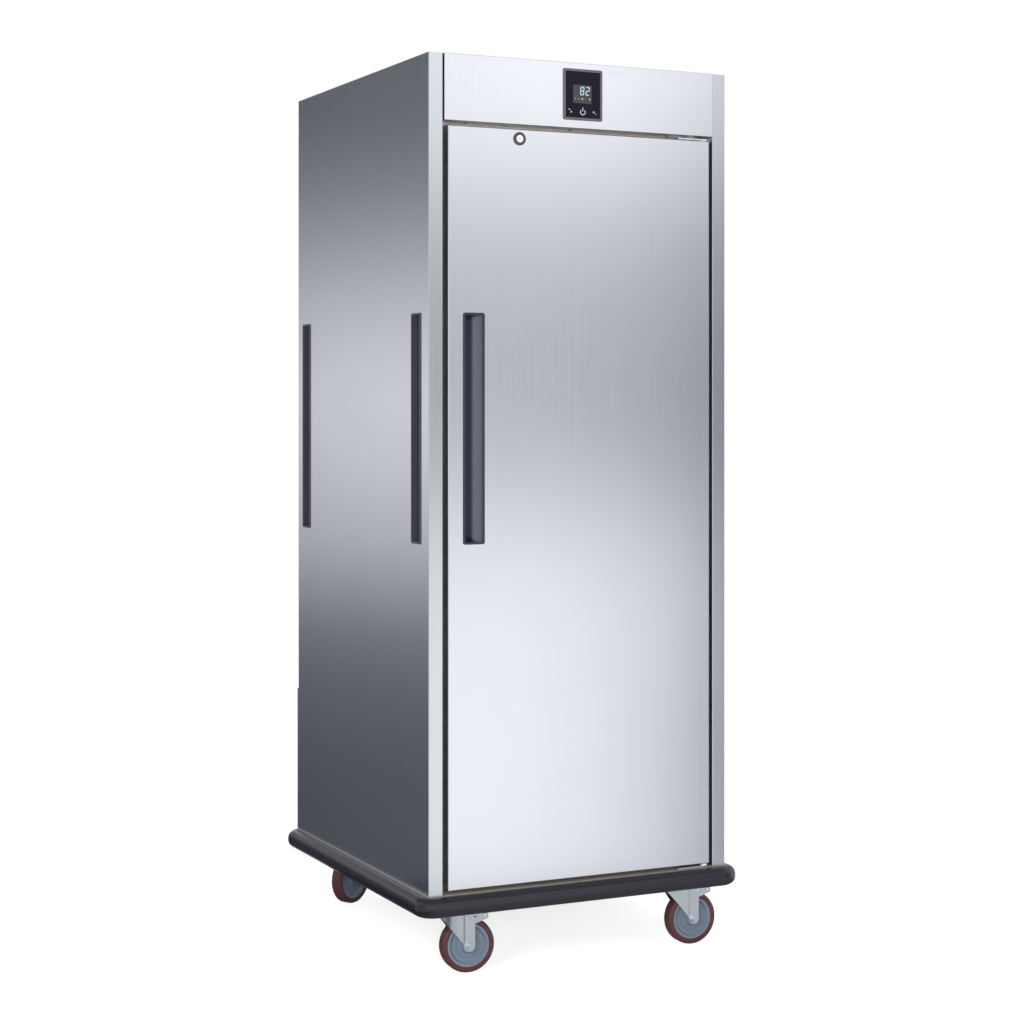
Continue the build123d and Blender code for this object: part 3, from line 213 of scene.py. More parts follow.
def graded_card(name, centre, towards, width, height, upwards, across, strength=1.0, lean=0.0):
    """A card that faces a point, graded upwards and across by stops. A lean slants the latter."""
    mesh = bmesh.new()
    bmesh.ops.create_grid(mesh, x_segments=1, y_segments=1, size=0.5)
    data = bpy.data.meshes.new(name)
    mesh.to_mesh(data)
    mesh.free()
    card = bpy.data.objects.new(name, data)
    bpy.context.scene.collection.objects.link(card)
    heading = Vector(towards) - Vector(centre)
    turn = heading.to_track_quat("Z", "Y").to_matrix().to_4x4()
    stretch = Matrix.Diagonal((width, height, 1.0, 1.0))
    card.matrix_world = Matrix.Translation(centre) @ turn @ stretch
    card.visible_camera = False
    card.visible_diffuse = False
    card.visible_transmission = False
    card.visible_shadow = False
    material = bpy.data.materials.new(name)
    material.use_nodes = True
    tree = material.node_tree
    tree.nodes.clear()
    place = Signal(tree, tree.nodes.new("ShaderNodeTexCoord").outputs["Object"])
    upright = place.axis("Y") + 0.5
    height_part = place.node("ShaderNodeValToRGB", {"stops": upwards}, {"Fac": upright})
    sideways = place.axis("X") + lean * place.axis("Y") + 0.5
    side_part = place.node("ShaderNodeValToRGB", {"stops": across}, {"Fac": sideways})
    shade = (height_part * side_part).tint(card_dark, card_light)
    glow = place.node("ShaderNodeEmission", None, {"Color": shade, "Strength": strength})
    glow.node("ShaderNodeOutputMaterial", None, {"Surface": glow})
    data.materials.append(material)
    print("card:", name, "at", centre)


even = [(0.0, 1.0), (1.0, 1.0)]
side_stops = [
    (0.0, 0.1), (0.216, 0.12), (0.29, 0.175), (0.33, 0.25), (0.365, 0.44), (0.405, 0.66),
    (0.45, 0.81), (0.5, 0.92), (0.53, 0.91), (0.58, 0.75), (0.63, 0.51), (0.68, 0.31),
    (0.73, 0.2), (1.0, 0.12),
]
side_across = [(0.0, 1.0), (0.52, 1.0), (0.58, 0.94), (0.66, 0.78), (1.0, 0.7)]
graded_card(
    "side_card", (-1.5, 2.2, card_z), (-0.37, 0.0, card_z), 3.0, 4.4, side_stops, side_across
)
front_stops = [
    (0.0, 0.88), (0.30, 0.88), (0.36, 0.82), (0.39, 0.7), (0.42, 0.56), (0.47, 0.43), (0.53, 0.39),
    (0.6, 0.44), (0.67, 0.49), (0.71, 0.54), (0.75, 0.74), (0.8, 0.98), (1.0, 1.0),
]
front_across = [
    (0.0, 0.15), (0.4, 0.17), (0.415, 0.24), (0.43, 0.38), (0.44, 0.52), (0.455, 0.8),
    (0.465, 0.88), (0.48, 0.84), (0.515, 0.82), (0.54, 0.9), (0.58, 0.93), (0.62, 1.0),
    (0.66, 1.0), (0.69, 0.86), (1.0, 0.8),
]
graded_card(
    "front_card", (2.6, -4.6, card_z), (0.0, -0.4, card_z), 5.0, 4.4, front_stops, front_across,
    strength=1.46, lean=0.1,
)
left_stops = [(0.0, 0.4), (1.0, 0.55)]
graded_card("left_card", (-3.4, -0.6, card_z), (-0.37, -0.4, card_z), 3.6, 4.4, left_stops, even)
floor_shade = [
    (0.0, 0.05), (0.48, 0.12), (0.58, 0.26), (0.67, 0.38), (0.85, 0.38), (0.885, 0.14),
    (0.945, 0.14), (0.965, 0.85), (1.0, 0.85),
]
floor_bands = [(0.0, 1.0), (0.67, 1.0), (0.79, 0.85), (0.83, 0.17), (1.0, 0.17)]
graded_card(
    "floor_card", (0.05, -0.35, 0.002), (0.05, -0.35, 1.0), 1.6, 1.6, floor_shade, floor_bands,
    strength=1.5,
)
ceiling_stops = [(0.0, 0.35), (1.0, 0.35)]
graded_card("ceiling_card", (0.0, -0.5, 4.2), (0.0, -0.5, 0.0), 7.0, 7.0, ceiling_stops, even)
rear_stops = [(0.0, 0.3), (0.3, 0.42), (0.45, 0.75), (0.58, 0.62), (0.75, 0.4), (1.0, 0.55)]
graded_card("rear_card", (2.9, 3.6, card_z), (0.0, 0.4, card_z), 5.0, 4.4, rear_stops, even)

# %% [markdown]
# Four soft lamps light what isn't metal: a key from the front left, which reaches into the right
# half of the recessed pull, a weak fill from the front right, a top lamp, and a small one near the
# camera's height, which looks into the gap over the door and along the bumper. Reflections see the
# cards, not the lamps.


# %% Lamps
def soft_lamp(name, place, target, size, power):
    """A square softbox that points at a target."""
    data = bpy.data.lights.new(name, "AREA")
    data.shape = "SQUARE"
    data.size = size
    data.energy = power
    lamp = bpy.data.objects.new(name, data)
    lamp.location = place
    lamp.rotation_euler = (Vector(target) - Vector(place)).to_track_quat("-Z", "Y").to_euler()
    lamp.visible_glossy = False
    bpy.context.scene.collection.objects.link(lamp)
    print("lamp:", name, power, "W")


soft_lamp("key", (-3.7, -3.3, 2.2), (0.0, 0.0, 1.0), 1.8, 130.0)
soft_lamp("fill", (3.6, -3.4, 2.2), (0.0, 0.0, 0.9), 2.4, 20.0)
soft_lamp("top", (0.0, 0.4, 4.6), (0.0, 0.0, 0.0), 2.6, 40.0)
soft_lamp("skirt", (-1.8, -4.1, 1.15), (0.0, -0.4, 1.4), 0.7, 110.0)


# %% [markdown]
# Every finish is built the same way: patterns placed by Object coordinates, which are metres on the
# cart, feed the colour, the roughness and a fine relief. One helper opens a material and one closes
# it.


# %% Opening and closing a material
def new_material(name):
    """A material with an empty tree, and the Object coordinates that its patterns are placed by."""
    material = bpy.data.materials.new(name)
    material.use_nodes = True
    tree = material.node_tree
    tree.nodes.clear()
    return material, Signal(tree, tree.nodes.new("ShaderNodeTexCoord").outputs["Object"])


def close_material(material, place, height=None, relief=0.0, **sockets):
    """Ends a material with a Principled shader. A height of 0 to 1 stands for relief metres."""
    if height is not None:
        bump = {"Height": height, "Distance": relief}
        sockets["Normal"] = place.node("ShaderNodeBump", None, bump)
    named = {name.replace("_", " "): value for name, value in sockets.items()}
    shader = place.node("ShaderNodeBsdfPrincipled", None, named)
    shader.node("ShaderNodeOutputMaterial", None, {"Surface": shader})
    print("material:", material.name, "with", len(place.tree.nodes), "nodes")
    return material


# %% [markdown]
# The cabinet is satin stainless sheet, brushed along its height on the outside. Brushing leaves
# scratches far longer than they are wide, in bands where the belt pressed harder, and the sheet is
# never quite even. Three layers of noise give that: fine scratches, bands, and broad clouds.


# %% Brushed stainless
scratch_size = 0.0006
scratch_relief = 0.0000012
band_size = 0.005
cloud_size = 0.12


def brushed_steel(name, tone, run, roughness, contrast=0.03, metallic=1.0):
    """Stainless sheet. Run is how much longer a scratch is along x, y and z."""
    material, place = new_material(name)
    scratches = place.speckle(scratch_size, run, detail=2.0)
    bands = place.speckle(band_size, run, detail=1.0, shift=3.0)
    clouds = place.speckle(cloud_size, detail=2.0, shift=7.0)
    wear = 0.5 * scratches + 0.25 * bands + 0.25 * clouds
    dark = tuple((1.0 - contrast) * c for c in tone)
    light = tuple((1.0 + contrast) * c for c in tone)
    return close_material(
        material,
        place,
        height=scratches,
        relief=scratch_relief,
        Base_Color=wear.between(0.3, 0.7).tint(dark, light),
        Metallic=metallic,
        Roughness=roughness + 0.04 * (scratches - 0.5) + 0.03 * (bands - 0.5),
    )


along_z = (1.0, 1.0, 140.0)
along_x = (140.0, 1.0, 1.0)
steel_tone = (0.745, 0.765, 0.795)
outer_steel = brushed_steel("outer_steel", steel_tone, along_z, 0.21)
side_steel = brushed_steel("side_steel", (0.64, 0.67, 0.7), along_z, 0.21)
top_steel = brushed_steel("top_steel", steel_tone, along_x, 0.32)
# The frame's pale warm tone is painted light: it stands for light reaching into the shaded gap over
# the door.
frame_painted_light = brushed_steel(
    "frame_painted_light", (0.82, 0.77, 0.7), along_x, 0.4, contrast=0.1, metallic=0.25
)
# The sill's brown tone is a painted reflection of the dark foot of the door and its seal.
sill_painted_reflection = brushed_steel(
    "sill_painted_reflection", (0.48, 0.41, 0.35), along_x, 0.4, contrast=0.15, metallic=0.3
)
liner_steel = brushed_steel("liner_steel", (0.62, 0.62, 0.62), along_x, 0.36)
hinge_steel = brushed_steel("hinge_steel", (0.85, 0.86, 0.88), along_x, 0.25)

# %% [markdown]
# The castors are pressed steel with a bright zinc plating. The bath leaves it bluish, with faint
# cloudy flowers and a yellowish bloom here and there.


# %% Zinc plate
flower_size = 0.004
flower_relief = 0.00001
bloom_size = 0.018


def zinc_plate(name, tone, roughness):
    """Bright plated metal, with flowers in the relief and a warm bloom in the colour."""
    material, place = new_material(name)
    flowers = place.speckle(flower_size, detail=3.0)
    bloom = place.speckle(bloom_size, detail=2.0, shift=5.0)
    warm = (tone[0], 0.96 * tone[1], 0.84 * tone[2])
    return close_material(
        material,
        place,
        height=flowers,
        relief=flower_relief,
        Base_Color=bloom.between(0.45, 0.8).tint(tone, warm),
        Metallic=1.0,
        Roughness=roughness + 0.1 * (flowers - 0.5),
    )


castor_zinc = zinc_plate("castor_zinc", (0.72, 0.78, 0.83), 0.16)
chassis_zinc = zinc_plate("chassis_zinc", (0.55, 0.57, 0.6), 0.4)
screw_zinc = zinc_plate("screw_zinc", (0.5, 0.5, 0.52), 0.3)

# %% [markdown]
# The shelves are bent from round wire with a bright plating, which shows small pits and drips.

# %% Plated wire
wire_plate = zinc_plate("wire_plate", (0.74, 0.74, 0.75), 0.2)

# %% [markdown]
# Moulded plastics and rubbers differ in colour, gloss and grain. One function makes them all: a
# fine grain in the relief, faint scuffs in the colour, and roughness that follows both.


# %% Moulded plastics and rubbers
scuff_size = 0.03
scuff_lift = 0.12
scuff_share = 0.3


def moulded(name, colour, roughness, grain, relief, scuff=0.25, **more):
    """Plastic or rubber. Grain is the mould texture's size in metres, and relief its depth."""
    material, place = new_material(name)
    texture = place.speckle(grain, detail=2.0)
    scuffs = place.speckle(scuff_size, detail=4.0, shift=2.0).between(0.45, 0.75)
    worn = tuple(c + scuff * (scuff_lift + c) * scuff_share for c in colour)
    return close_material(
        material,
        place,
        height=texture,
        relief=relief,
        Base_Color=scuffs.tint(colour, worn),
        Roughness=roughness + 0.12 * scuffs + 0.1 * (texture - 0.5),
        **more,
    )


pull_plastic = moulded(
    "pull_plastic", (0.035, 0.032, 0.045), 0.45, 0.0008, 0.00002, scuff=0.1
)
bezel_plastic = moulded(
    "bezel_plastic", (0.1, 0.085, 0.097), 0.4, 0.0006, 0.00001, scuff=0.1
)
housing_plastic = moulded("housing_plastic", (0.03, 0.03, 0.032), 0.5, 0.0008, 0.00003)
seal_rubber = moulded("seal_rubber", (0.075, 0.062, 0.06), 0.55, 0.001, 0.00003, scuff=0.2)
hub_plastic = moulded("hub_plastic", (0.13, 0.165, 0.215), 0.4, 0.0008, 0.00003, scuff=0.15)
tread_rubber = moulded("tread_rubber", (0.072, 0.022, 0.024), 0.32, 0.001, 0.00003, scuff=0.15)
nylon = moulded("nylon", (0.7, 0.7, 0.66), 0.45, 0.0008, 0.00002)
inlet_plastic = moulded("inlet_plastic", (0.02, 0.02, 0.02), 0.35, 0.0008, 0.00002)
panel_glass = moulded(
    "panel_glass", (0.006, 0.006, 0.011), 0.12, 0.01, 0.0, scuff=0.02, Specular_IOR_Level=0.1
)
lock_black = moulded(
    "lock_black", (0.03, 0.032, 0.04), 0.3, 0.0006, 0.00001, scuff=0.1, Coat_Weight=0.4
)
motor_paint = moulded("motor_paint", (0.03, 0.03, 0.032), 0.5, 0.0015, 0.00005)
lock_chrome = zinc_plate("lock_chrome", (0.92, 0.92, 0.92), 0.15)
fan_aluminium = zinc_plate("fan_aluminium", (0.74, 0.74, 0.75), 0.4)

# %% [markdown]
# Two mouldings have more than one texture. The bumper is satin black, and its thin lip against the
# cabinet is painted light grey, a painted highlight along the top of the lip. The door's pull has a
# matt dark flange round a smoother cup.
# The cup carries painted light and shade: the half on the hinge side is painted light, where its
# wall faces the lamp, and the other half is painted shade, where the lip shades the deep floor of
# the cup. The height or the depth of a point tells the textures apart.

# %% Bumper
lip_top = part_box("bumper")[1][2]
lip_highlight_from = 0.0021
lip_highlight_to = 0.0017
bumper_rubber, place = new_material("bumper_rubber")
texture = place.speckle(0.0012, detail=2.0)
# The lip's light grey band is a painted highlight.
lip_painted_highlight = place.axis("Z").between(lip_top - lip_highlight_from, lip_top - lip_highlight_to)
close_material(
    bumper_rubber,
    place,
    height=texture,
    relief=0.00003,
    Base_Color=lip_painted_highlight.tint((0.013, 0.012, 0.017), (0.2, 0.19, 0.185)),
    Roughness=0.26 + 0.08 * (texture - 0.5),
)

# %% The door's pull
flange_dark = (0.03, 0.028, 0.037)
# The cup's dark colour is painted shade, and its light colour is painted light.
cup_painted_shade = (0.014, 0.014, 0.03)
cup_painted_light = (0.095, 0.1, 0.125)
pull_low, pull_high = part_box("door_handle")
pull_width = pull_high[0] - pull_low[0]
door_face_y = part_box("door_skin")[0][1]
flange_out = 0.0004
cup_in = 0.002
painted_light_from = 0.59
painted_light_to = 0.69
door_pull, place = new_material("door_pull")
texture = place.speckle(0.0008, detail=2.0)
depth = place.axis("Y").between(door_face_y - flange_out, door_face_y + cup_in)
# Across the pull, the cup turns from painted shade to painted light.
painted_light_mask = place.axis("X").between(
    pull_low[0] + painted_light_from * pull_width, pull_low[0] + painted_light_to * pull_width
)
close_material(
    door_pull,
    place,
    height=texture,
    relief=0.00002,
    Base_Color=depth.tint(flange_dark, painted_light_mask.tint(cup_painted_shade, cup_painted_light)),
    Roughness=0.45 - 0.1 * depth + 0.08 * (texture - 0.5),
    Specular_IOR_Level=0.3,
)

# %% [markdown]
# The insulation is mineral wool, which no one sees once the cabinet is shut. It is a soft, matt mat
# of yellowish fibres.

# %% Mineral wool
wool, place = new_material("mineral_wool")
fibres = place.speckle(0.0015, (1.0, 6.0, 1.0), detail=4.0)
tufts = place.speckle(0.02, detail=3.0, shift=4.0)
wool_dark = (0.55, 0.48, 0.3)
wool_light = (0.8, 0.74, 0.55)
wool_colour = (0.5 * fibres + 0.5 * tufts).between(0.3, 0.7).tint(wool_dark, wool_light)
close_material(
    wool, place, height=fibres, relief=0.0006, Base_Color=wool_colour, Roughness=0.95
)

# %% [markdown]
# Each CAD node keeps its shape and takes its finish. A table of finish to nodes says which.

# %% Paint the CAD nodes
castor_names = ["front_left", "front_right", "rear_left", "rear_right"]
castor_steel = [f"{name}_{piece}" for name in castor_names for piece in ("fork", "axle")]
grips = [f"{side}_{end}_grip" for side in ("left", "right") for end in ("front", "rear")]
inner_sheets = ["cavity_liner", "door_liner", "air_duct", "left_rack", "right_rack"]
finishes = [
    (side_steel, ["left_side_panel", "right_side_panel"]),
    (outer_steel, ["door_skin", "header_fascia", "rear_panel", "rear_cover"]),
    (top_steel, ["top_panel"]),
    (frame_painted_light, ["front_frame"]),
    (sill_painted_reflection, ["base_pan"]),
    (liner_steel, inner_sheets + ["temperature_probe"]),
    (hinge_steel, ["top_hinge_bracket", "bottom_hinge_bracket"]),
    (wire_plate, ["wire_shelf_1", "wire_shelf_2", "wire_shelf_3"]),
    (chassis_zinc, ["base_frame"]),
    (screw_zinc, ["cabinet_screws", "lock_cam", "castor_bolts"]),
    (castor_zinc, ["castor_plates"] + castor_steel),
    (hub_plastic, [f"{name}_hub" for name in castor_names]),
    (tread_rubber, [f"{name}_tread" for name in castor_names]),
    (bumper_rubber, ["bumper"]),
    (pull_plastic, grips),
    (door_pull, ["door_handle"]),
    (bezel_plastic, ["control_bezel"]),
    (panel_glass, ["control_glass"]),
    (housing_plastic, ["control_housing"]),
    (seal_rubber, ["door_gasket"]),
    (nylon, ["hinge_bushes"]),
    (inlet_plastic, ["power_inlet"]),
    (lock_black, ["lock_case"]),
    (lock_chrome, ["lock_barrel"]),
    (motor_paint, ["fan_motor"]),
    (fan_aluminium, ["fan_impeller"]),
    (chassis_zinc, ["heating_element"]),
    (wool, ["insulation", "door_insulation"]),
]
for material, names in finishes:
    for name in names:
        nodes[name].data.materials.clear()
        nodes[name].data.materials.append(material)
painted = {name for _, names in finishes for name in names}
print("painted", len(painted), "nodes, left out:", sorted(set(nodes) - painted))

# %% [markdown]
# The rest of the script models what CAD leaves plain. Every such piece ends in the same way: its
# doubles are merged, its faces turned outwards, its soft edges smoothed and its crisp ones kept. It
# then rides on the body that carries it and takes its material.


# %% Finishing a piece
mm = 0.001


def finished(mesh, name, material, body, crisp=35.0):
    """Turns a bmesh into a piece on a body. Edges sharper than crisp degrees stay crisp."""
    bmesh.ops.remove_doubles(mesh, verts=mesh.verts, dist=0.01 * mm)
    bmesh.ops.recalc_face_normals(mesh, faces=mesh.faces)
    open_edges = sum(1 for edge in mesh.edges if len(edge.link_faces) != 2)
    data = bpy.data.meshes.new(name)
    mesh.to_mesh(data)
    mesh.free()
    data.shade_smooth()
    data.set_sharp_from_angle(angle=math.radians(crisp))
    data.materials.append(material)
    piece = bpy.data.objects.new(name, data)
    bpy.context.scene.collection.objects.link(piece)
    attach(piece, body)
    print("piece:", name, "faces", len(data.polygons), "open edges", open_edges)
    return piece


# %% [markdown]
# A magnetic door seal is a bellows: a flat foot in the door's channel, a thin neck and a soft fold
# that the frame presses flat. Its section is drawn once, as one closed loop, at one corner.
# Mirrored copies stand at the other three corners, and bridging each to the next gives straight
# runs with true mitres.

# %% Door seal
seal_low, seal_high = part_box("door_gasket")
half_section = [
    (9.0, 0.0), (9.0, 2.2), (8.2, 3.0), (4.5, 3.2), (4.0, 4.2), (6.8, 5.2), (6.8, 6.0),
    (4.2, 6.9), (4.2, 7.4), (7.5, 8.6), (7.6, 10.6), (6.2, 12.2), (4.0, 12.7),
]
section = half_section + [(-across, out) for across, out in reversed(half_section)]
seal_half_band = half_section[0][0] * mm
seal_middle_z = (seal_low[2] + seal_high[2]) / 2
seal_x = seal_high[0] - seal_half_band
seal_z = (seal_high[2] - seal_low[2]) / 2 - seal_half_band

mesh = bmesh.new()
corner = [
    mesh.verts.new((seal_x + across * mm, seal_low[1] + out * mm, seal_z + across * mm))
    for across, out in section
]
loops = [[mesh.edges.new((a, b)) for a, b in zip(corner, corner[1:] + corner[:1])]]
for flip in ((-1, 1, 1), (1, 1, -1), (-1, 1, 1)):
    copied = bmesh.ops.duplicate(mesh, geom=loops[-1])["geom"]
    bmesh.ops.scale(mesh, vec=flip, verts=[v for v in copied if isinstance(v, bmesh.types.BMVert)])
    loops.append([e for e in copied if isinstance(e, bmesh.types.BMEdge)])
for start, end in zip(loops, loops[1:] + loops[:1]):
    bmesh.ops.bridge_loops(mesh, edges=start + end)
bmesh.ops.translate(mesh, vec=(0.0, 0.0, seal_middle_z), verts=mesh.verts)
seal = finished(mesh, "door_seal", seal_rubber, "door", crisp=50.0)
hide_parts("door_gasket")

# %% [markdown]
# The cabinet's sheets are held by small crowned screws with a cross recess. The recess comes from a
# grid of three by three faces: the plus-shaped five are pushed down, and the grid's rim is pulled
# out into a circle and stepped down over the crown to the seat and the shank. One screw is made at
# the origin, and a copy stands wherever the CAD has a screw, which its separate islands tell.


# %% One screw
head_radius = 4.0 * mm
head_height = 2.2 * mm
shank_radius = 2.0 * mm
recess_half = 1.9 * mm
recess_depth = 1.1 * mm
recess_taper = 0.6


def add_screw(mesh, seat, outwards, shank_length):
    """Adds a screw whose head stands on a seat and points outwards."""
    made = bmesh.ops.create_grid(mesh, x_segments=3, y_segments=3, size=recess_half)["verts"]
    faces = {f for v in made for f in v.link_faces}
    centre_faces = [f for f in faces if f.calc_center_median().length < recess_half * 0.8]
    for vert in made:
        vert.co.z = head_height
    rim = list({e for v in made for e in v.link_edges if e.is_boundary})
    arms = bmesh.ops.extrude_face_region(mesh, geom=centre_faces)["geom"]
    arms = [v for v in arms if isinstance(v, bmesh.types.BMVert)]
    bmesh.ops.delete(mesh, geom=centre_faces, context="FACES")
    bmesh.ops.translate(mesh, vec=(0.0, 0.0, -recess_depth), verts=arms)
    bmesh.ops.scale(mesh, vec=(recess_taper, recess_taper, 1.0), verts=arms)
    everything = set(made) | set(arms)
    outline = (
        (0.78 * head_radius, 0.86 * head_height), (0.95 * head_radius, 0.55 * head_height),
        (head_radius, 0.2 * head_height), (head_radius, 0.0),
        (shank_radius, 0.0), (shank_radius, -shank_length),
    )
    for radius, height in outline:
        grown = bmesh.ops.extrude_edge_only(mesh, edges=rim)["geom"]
        rim = [e for e in grown if isinstance(e, bmesh.types.BMEdge)]
        ring = [v for v in grown if isinstance(v, bmesh.types.BMVert)]
        for vert in ring:
            flat = Vector((vert.co.x, vert.co.y)).normalized() * radius
            vert.co = (flat.x, flat.y, height)
        everything |= set(ring)
    rim = [e for e in {e for v in ring for e in v.link_edges} if e.is_boundary]
    bmesh.ops.contextual_create(mesh, geom=rim)
    turn = Vector(outwards).to_track_quat("Z", "Y").to_matrix().to_4x4()
    placing = Matrix.Translation(seat) @ turn
    bmesh.ops.transform(mesh, matrix=placing, verts=list(everything))


# %% Screws where the CAD has them
islands_mesh = bmesh.new()
islands_mesh.from_mesh(nodes["cabinet_screws"].data)
bmesh.ops.remove_doubles(islands_mesh, verts=islands_mesh.verts, dist=0.001 * mm)
waiting = set(islands_mesh.verts)
screw_boxes = []
while waiting:
    island = {waiting.pop()}
    edge_of_island = set(island)
    while edge_of_island:
        edge_of_island = {e.other_vert(v) for v in edge_of_island for e in v.link_edges} - island
        island |= edge_of_island
    waiting -= island
    lows = [min(v.co[axis] for v in island) for axis in range(3)]
    highs = [max(v.co[axis] for v in island) for axis in range(3)]
    screw_boxes.append((lows, highs))
islands_mesh.free()

mesh = bmesh.new()
for lows, highs in screw_boxes:
    sizes = [high - low for low, high in zip(lows, highs)]
    lengthways = max(range(3), key=lambda axis: abs(sizes[axis] - 2 * head_radius))
    middle = [(low + high) / 2 for low, high in zip(lows, highs)]
    faces_back = lengthways == 1 and middle[1] > 0.0
    faces_up = lengthways == 2 and middle[2] < 1.0
    towards_high = faces_back or faces_up
    outwards = [0.0, 0.0, 0.0]
    outwards[lengthways] = 1.0 if towards_high else -1.0
    seat = list(middle)
    top = highs[lengthways] if towards_high else lows[lengthways]
    seat[lengthways] = top - outwards[lengthways] * head_height
    add_screw(mesh, seat, outwards, sizes[lengthways] - head_height)
screws = finished(mesh, "crowned_screws", screw_zinc, "root", crisp=40.0)
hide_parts("cabinet_screws")
print("screws:", len(screw_boxes))

# %% [markdown]
# The rear cover has pressed louvres: each slot has a hood over it that keeps water out and lets air
# through. A hood is a quarter of a long capsule. A sphere is cut apart at its middle and drawn out,
# one cut takes away what lies behind the sheet, another opens it downwards, and solidify gives the
# sheet its thickness.

# %% Louvre hoods
hood_length = 116.0 * mm
hood_radius = 9.0 * mm
hood_depth = 4.2 * mm
hood_sheet = 0.8 * mm
cover_low, cover_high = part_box("rear_cover")
fan_z = (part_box("fan_motor")[0][2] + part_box("fan_motor")[1][2]) / 2

mesh = bmesh.new()
sphere = bmesh.ops.create_uvsphere(mesh, u_segments=16, v_segments=12, radius=1.0)["verts"]
bmesh.ops.rotate(mesh, verts=sphere, matrix=Matrix.Rotation(math.radians(90.0), 3, "Y"))
for vert in sphere:
    side = 0 if abs(vert.co.x) < 0.001 else math.copysign(1.0, vert.co.x)
    straight = hood_length / 2 - hood_radius
    drawn_x = vert.co.x * hood_radius + side * straight
    vert.co = (drawn_x, vert.co.y * hood_depth, vert.co.z * hood_radius)
slice_at = (
    ((0.0, 0.0, 0.0), (0.0, 1.0, 0.0)),
    ((0.0, 0.0, -0.35 * hood_radius), (0.0, 0.0, 1.0)),
)
for point, normal in slice_at:
    everything = list(mesh.verts) + list(mesh.edges) + list(mesh.faces)
    bmesh.ops.bisect_plane(
        mesh, geom=everything, dist=0.001 * mm, plane_co=point, plane_no=normal, clear_inner=True
    )
bmesh.ops.recalc_face_normals(mesh, faces=mesh.faces)
everything = list(mesh.verts) + list(mesh.edges) + list(mesh.faces)
bmesh.ops.solidify(mesh, geom=everything, thickness=hood_sheet)
one_hood = list(mesh.verts) + list(mesh.edges) + list(mesh.faces)
hood_columns = (-77.0 * mm, 77.0 * mm)
hood_pitch = 20.0
rows = 8
hood_rows = [fan_z + (row - (rows - 1) / 2) * hood_pitch * mm for row in range(rows)]
for x in hood_columns:
    for z in hood_rows:
        copied = bmesh.ops.duplicate(mesh, geom=one_hood)["geom"]
        copied = [v for v in copied if isinstance(v, bmesh.types.BMVert)]
        bmesh.ops.translate(mesh, vec=(x, cover_high[1] - 0.1 * mm, z), verts=copied)
first_hood = [v for v in one_hood if isinstance(v, bmesh.types.BMVert)]
bmesh.ops.delete(mesh, geom=first_hood, context="VERTS")
finished(mesh, "louvre_hoods", outer_steel, "root", crisp=40.0)

# %% [markdown]
# Each castor fork is pressed from sheet. Where its curved nose meets the flat strap, the press
# leaves an upright fold on both cheeks, which draws a dark and a bright line beside the strap. A
# thin cylinder half sunk in each cheek makes it. The middle of the wheel and the castor's turn at
# rest give its place.

# %% Folds on the forks
castor_turns = {"front_left": -6.0, "front_right": -2.0, "rear_left": 30.0, "rear_right": -14.0}
cheek = 21.5 * mm
fold_across = -11.6 * mm
fold_radius = 1.8 * mm
fold_foot = 7.0 * mm
fold_top_drop = 12.0 * mm
for name in castor_names:
    wheel_low, wheel_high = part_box(f"{name}_tread")
    wheel_centre = (Vector(wheel_low) + Vector(wheel_high)) / 2
    fork_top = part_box(f"{name}_fork")[1][2]
    fold_height = fork_top - fold_top_drop - wheel_centre.z - fold_foot
    mesh = bmesh.new()
    for side in (-1, 1):
        fold = bmesh.ops.create_cone(
            mesh, cap_ends=True, segments=16,
            radius1=fold_radius, radius2=fold_radius, depth=fold_height,
        )["verts"]
        middle = (fold_across, side * cheek, fold_foot + fold_height / 2)
        bmesh.ops.translate(mesh, vec=middle, verts=fold)
    turn = Matrix.Rotation(math.radians(castor_turns[name]), 3, "Z")
    bmesh.ops.rotate(mesh, matrix=turn, verts=mesh.verts)
    bmesh.ops.translate(mesh, vec=wheel_centre, verts=mesh.verts)
    finished(mesh, f"{name}_folds", castor_zinc, f"{name}_castor")

# %% [markdown]
# Behind the glass of the control panel a small display glows, and three touch marks are printed
# under it. They are all flat shapes a fraction of a millimetre thick. A hexagon stretched to a bar
# makes one segment of a digit, and a triangle, a square or a ring makes a mark. The number is only
# a temperature.


# %% Flat marks
glass_low, glass_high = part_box("control_glass")
panel_z = (glass_low[2] + glass_high[2]) / 2
mark_layer = 0.12 * mm


def add_mark(mesh, sides, width, height, x, z, turn=0.0, layer=0):
    """Adds a flat polygon of a width and height in mm, on one of the layers over the glass."""
    made = bmesh.ops.create_circle(mesh, cap_ends=True, segments=sides, radius=0.5)["verts"]
    face = list({f for v in made for f in v.link_faces})
    grown = bmesh.ops.extrude_face_region(mesh, geom=face)["geom"]
    above = [v for v in grown if isinstance(v, bmesh.types.BMVert)]
    bmesh.ops.translate(mesh, vec=(0.0, 0.0, 1.0), verts=above)
    both = made + above
    if sides == 4:
        eighth = Matrix.Rotation(math.radians(45.0), 3, "Z")
        bmesh.ops.rotate(mesh, verts=both, matrix=eighth)
        bmesh.ops.scale(mesh, vec=(math.sqrt(2.0), math.sqrt(2.0), 1.0), verts=both)
    bmesh.ops.scale(mesh, vec=(width * mm, height * mm, mark_layer), verts=both)
    bmesh.ops.rotate(mesh, verts=both, matrix=Matrix.Rotation(math.radians(turn), 3, "Z"))
    bmesh.ops.rotate(mesh, verts=both, matrix=Matrix.Rotation(math.radians(90.0), 3, "X"))
    at = (x * mm, glass_low[1] - layer * mark_layer, panel_z + z * mm)
    bmesh.ops.translate(mesh, vec=at, verts=both)
    return both


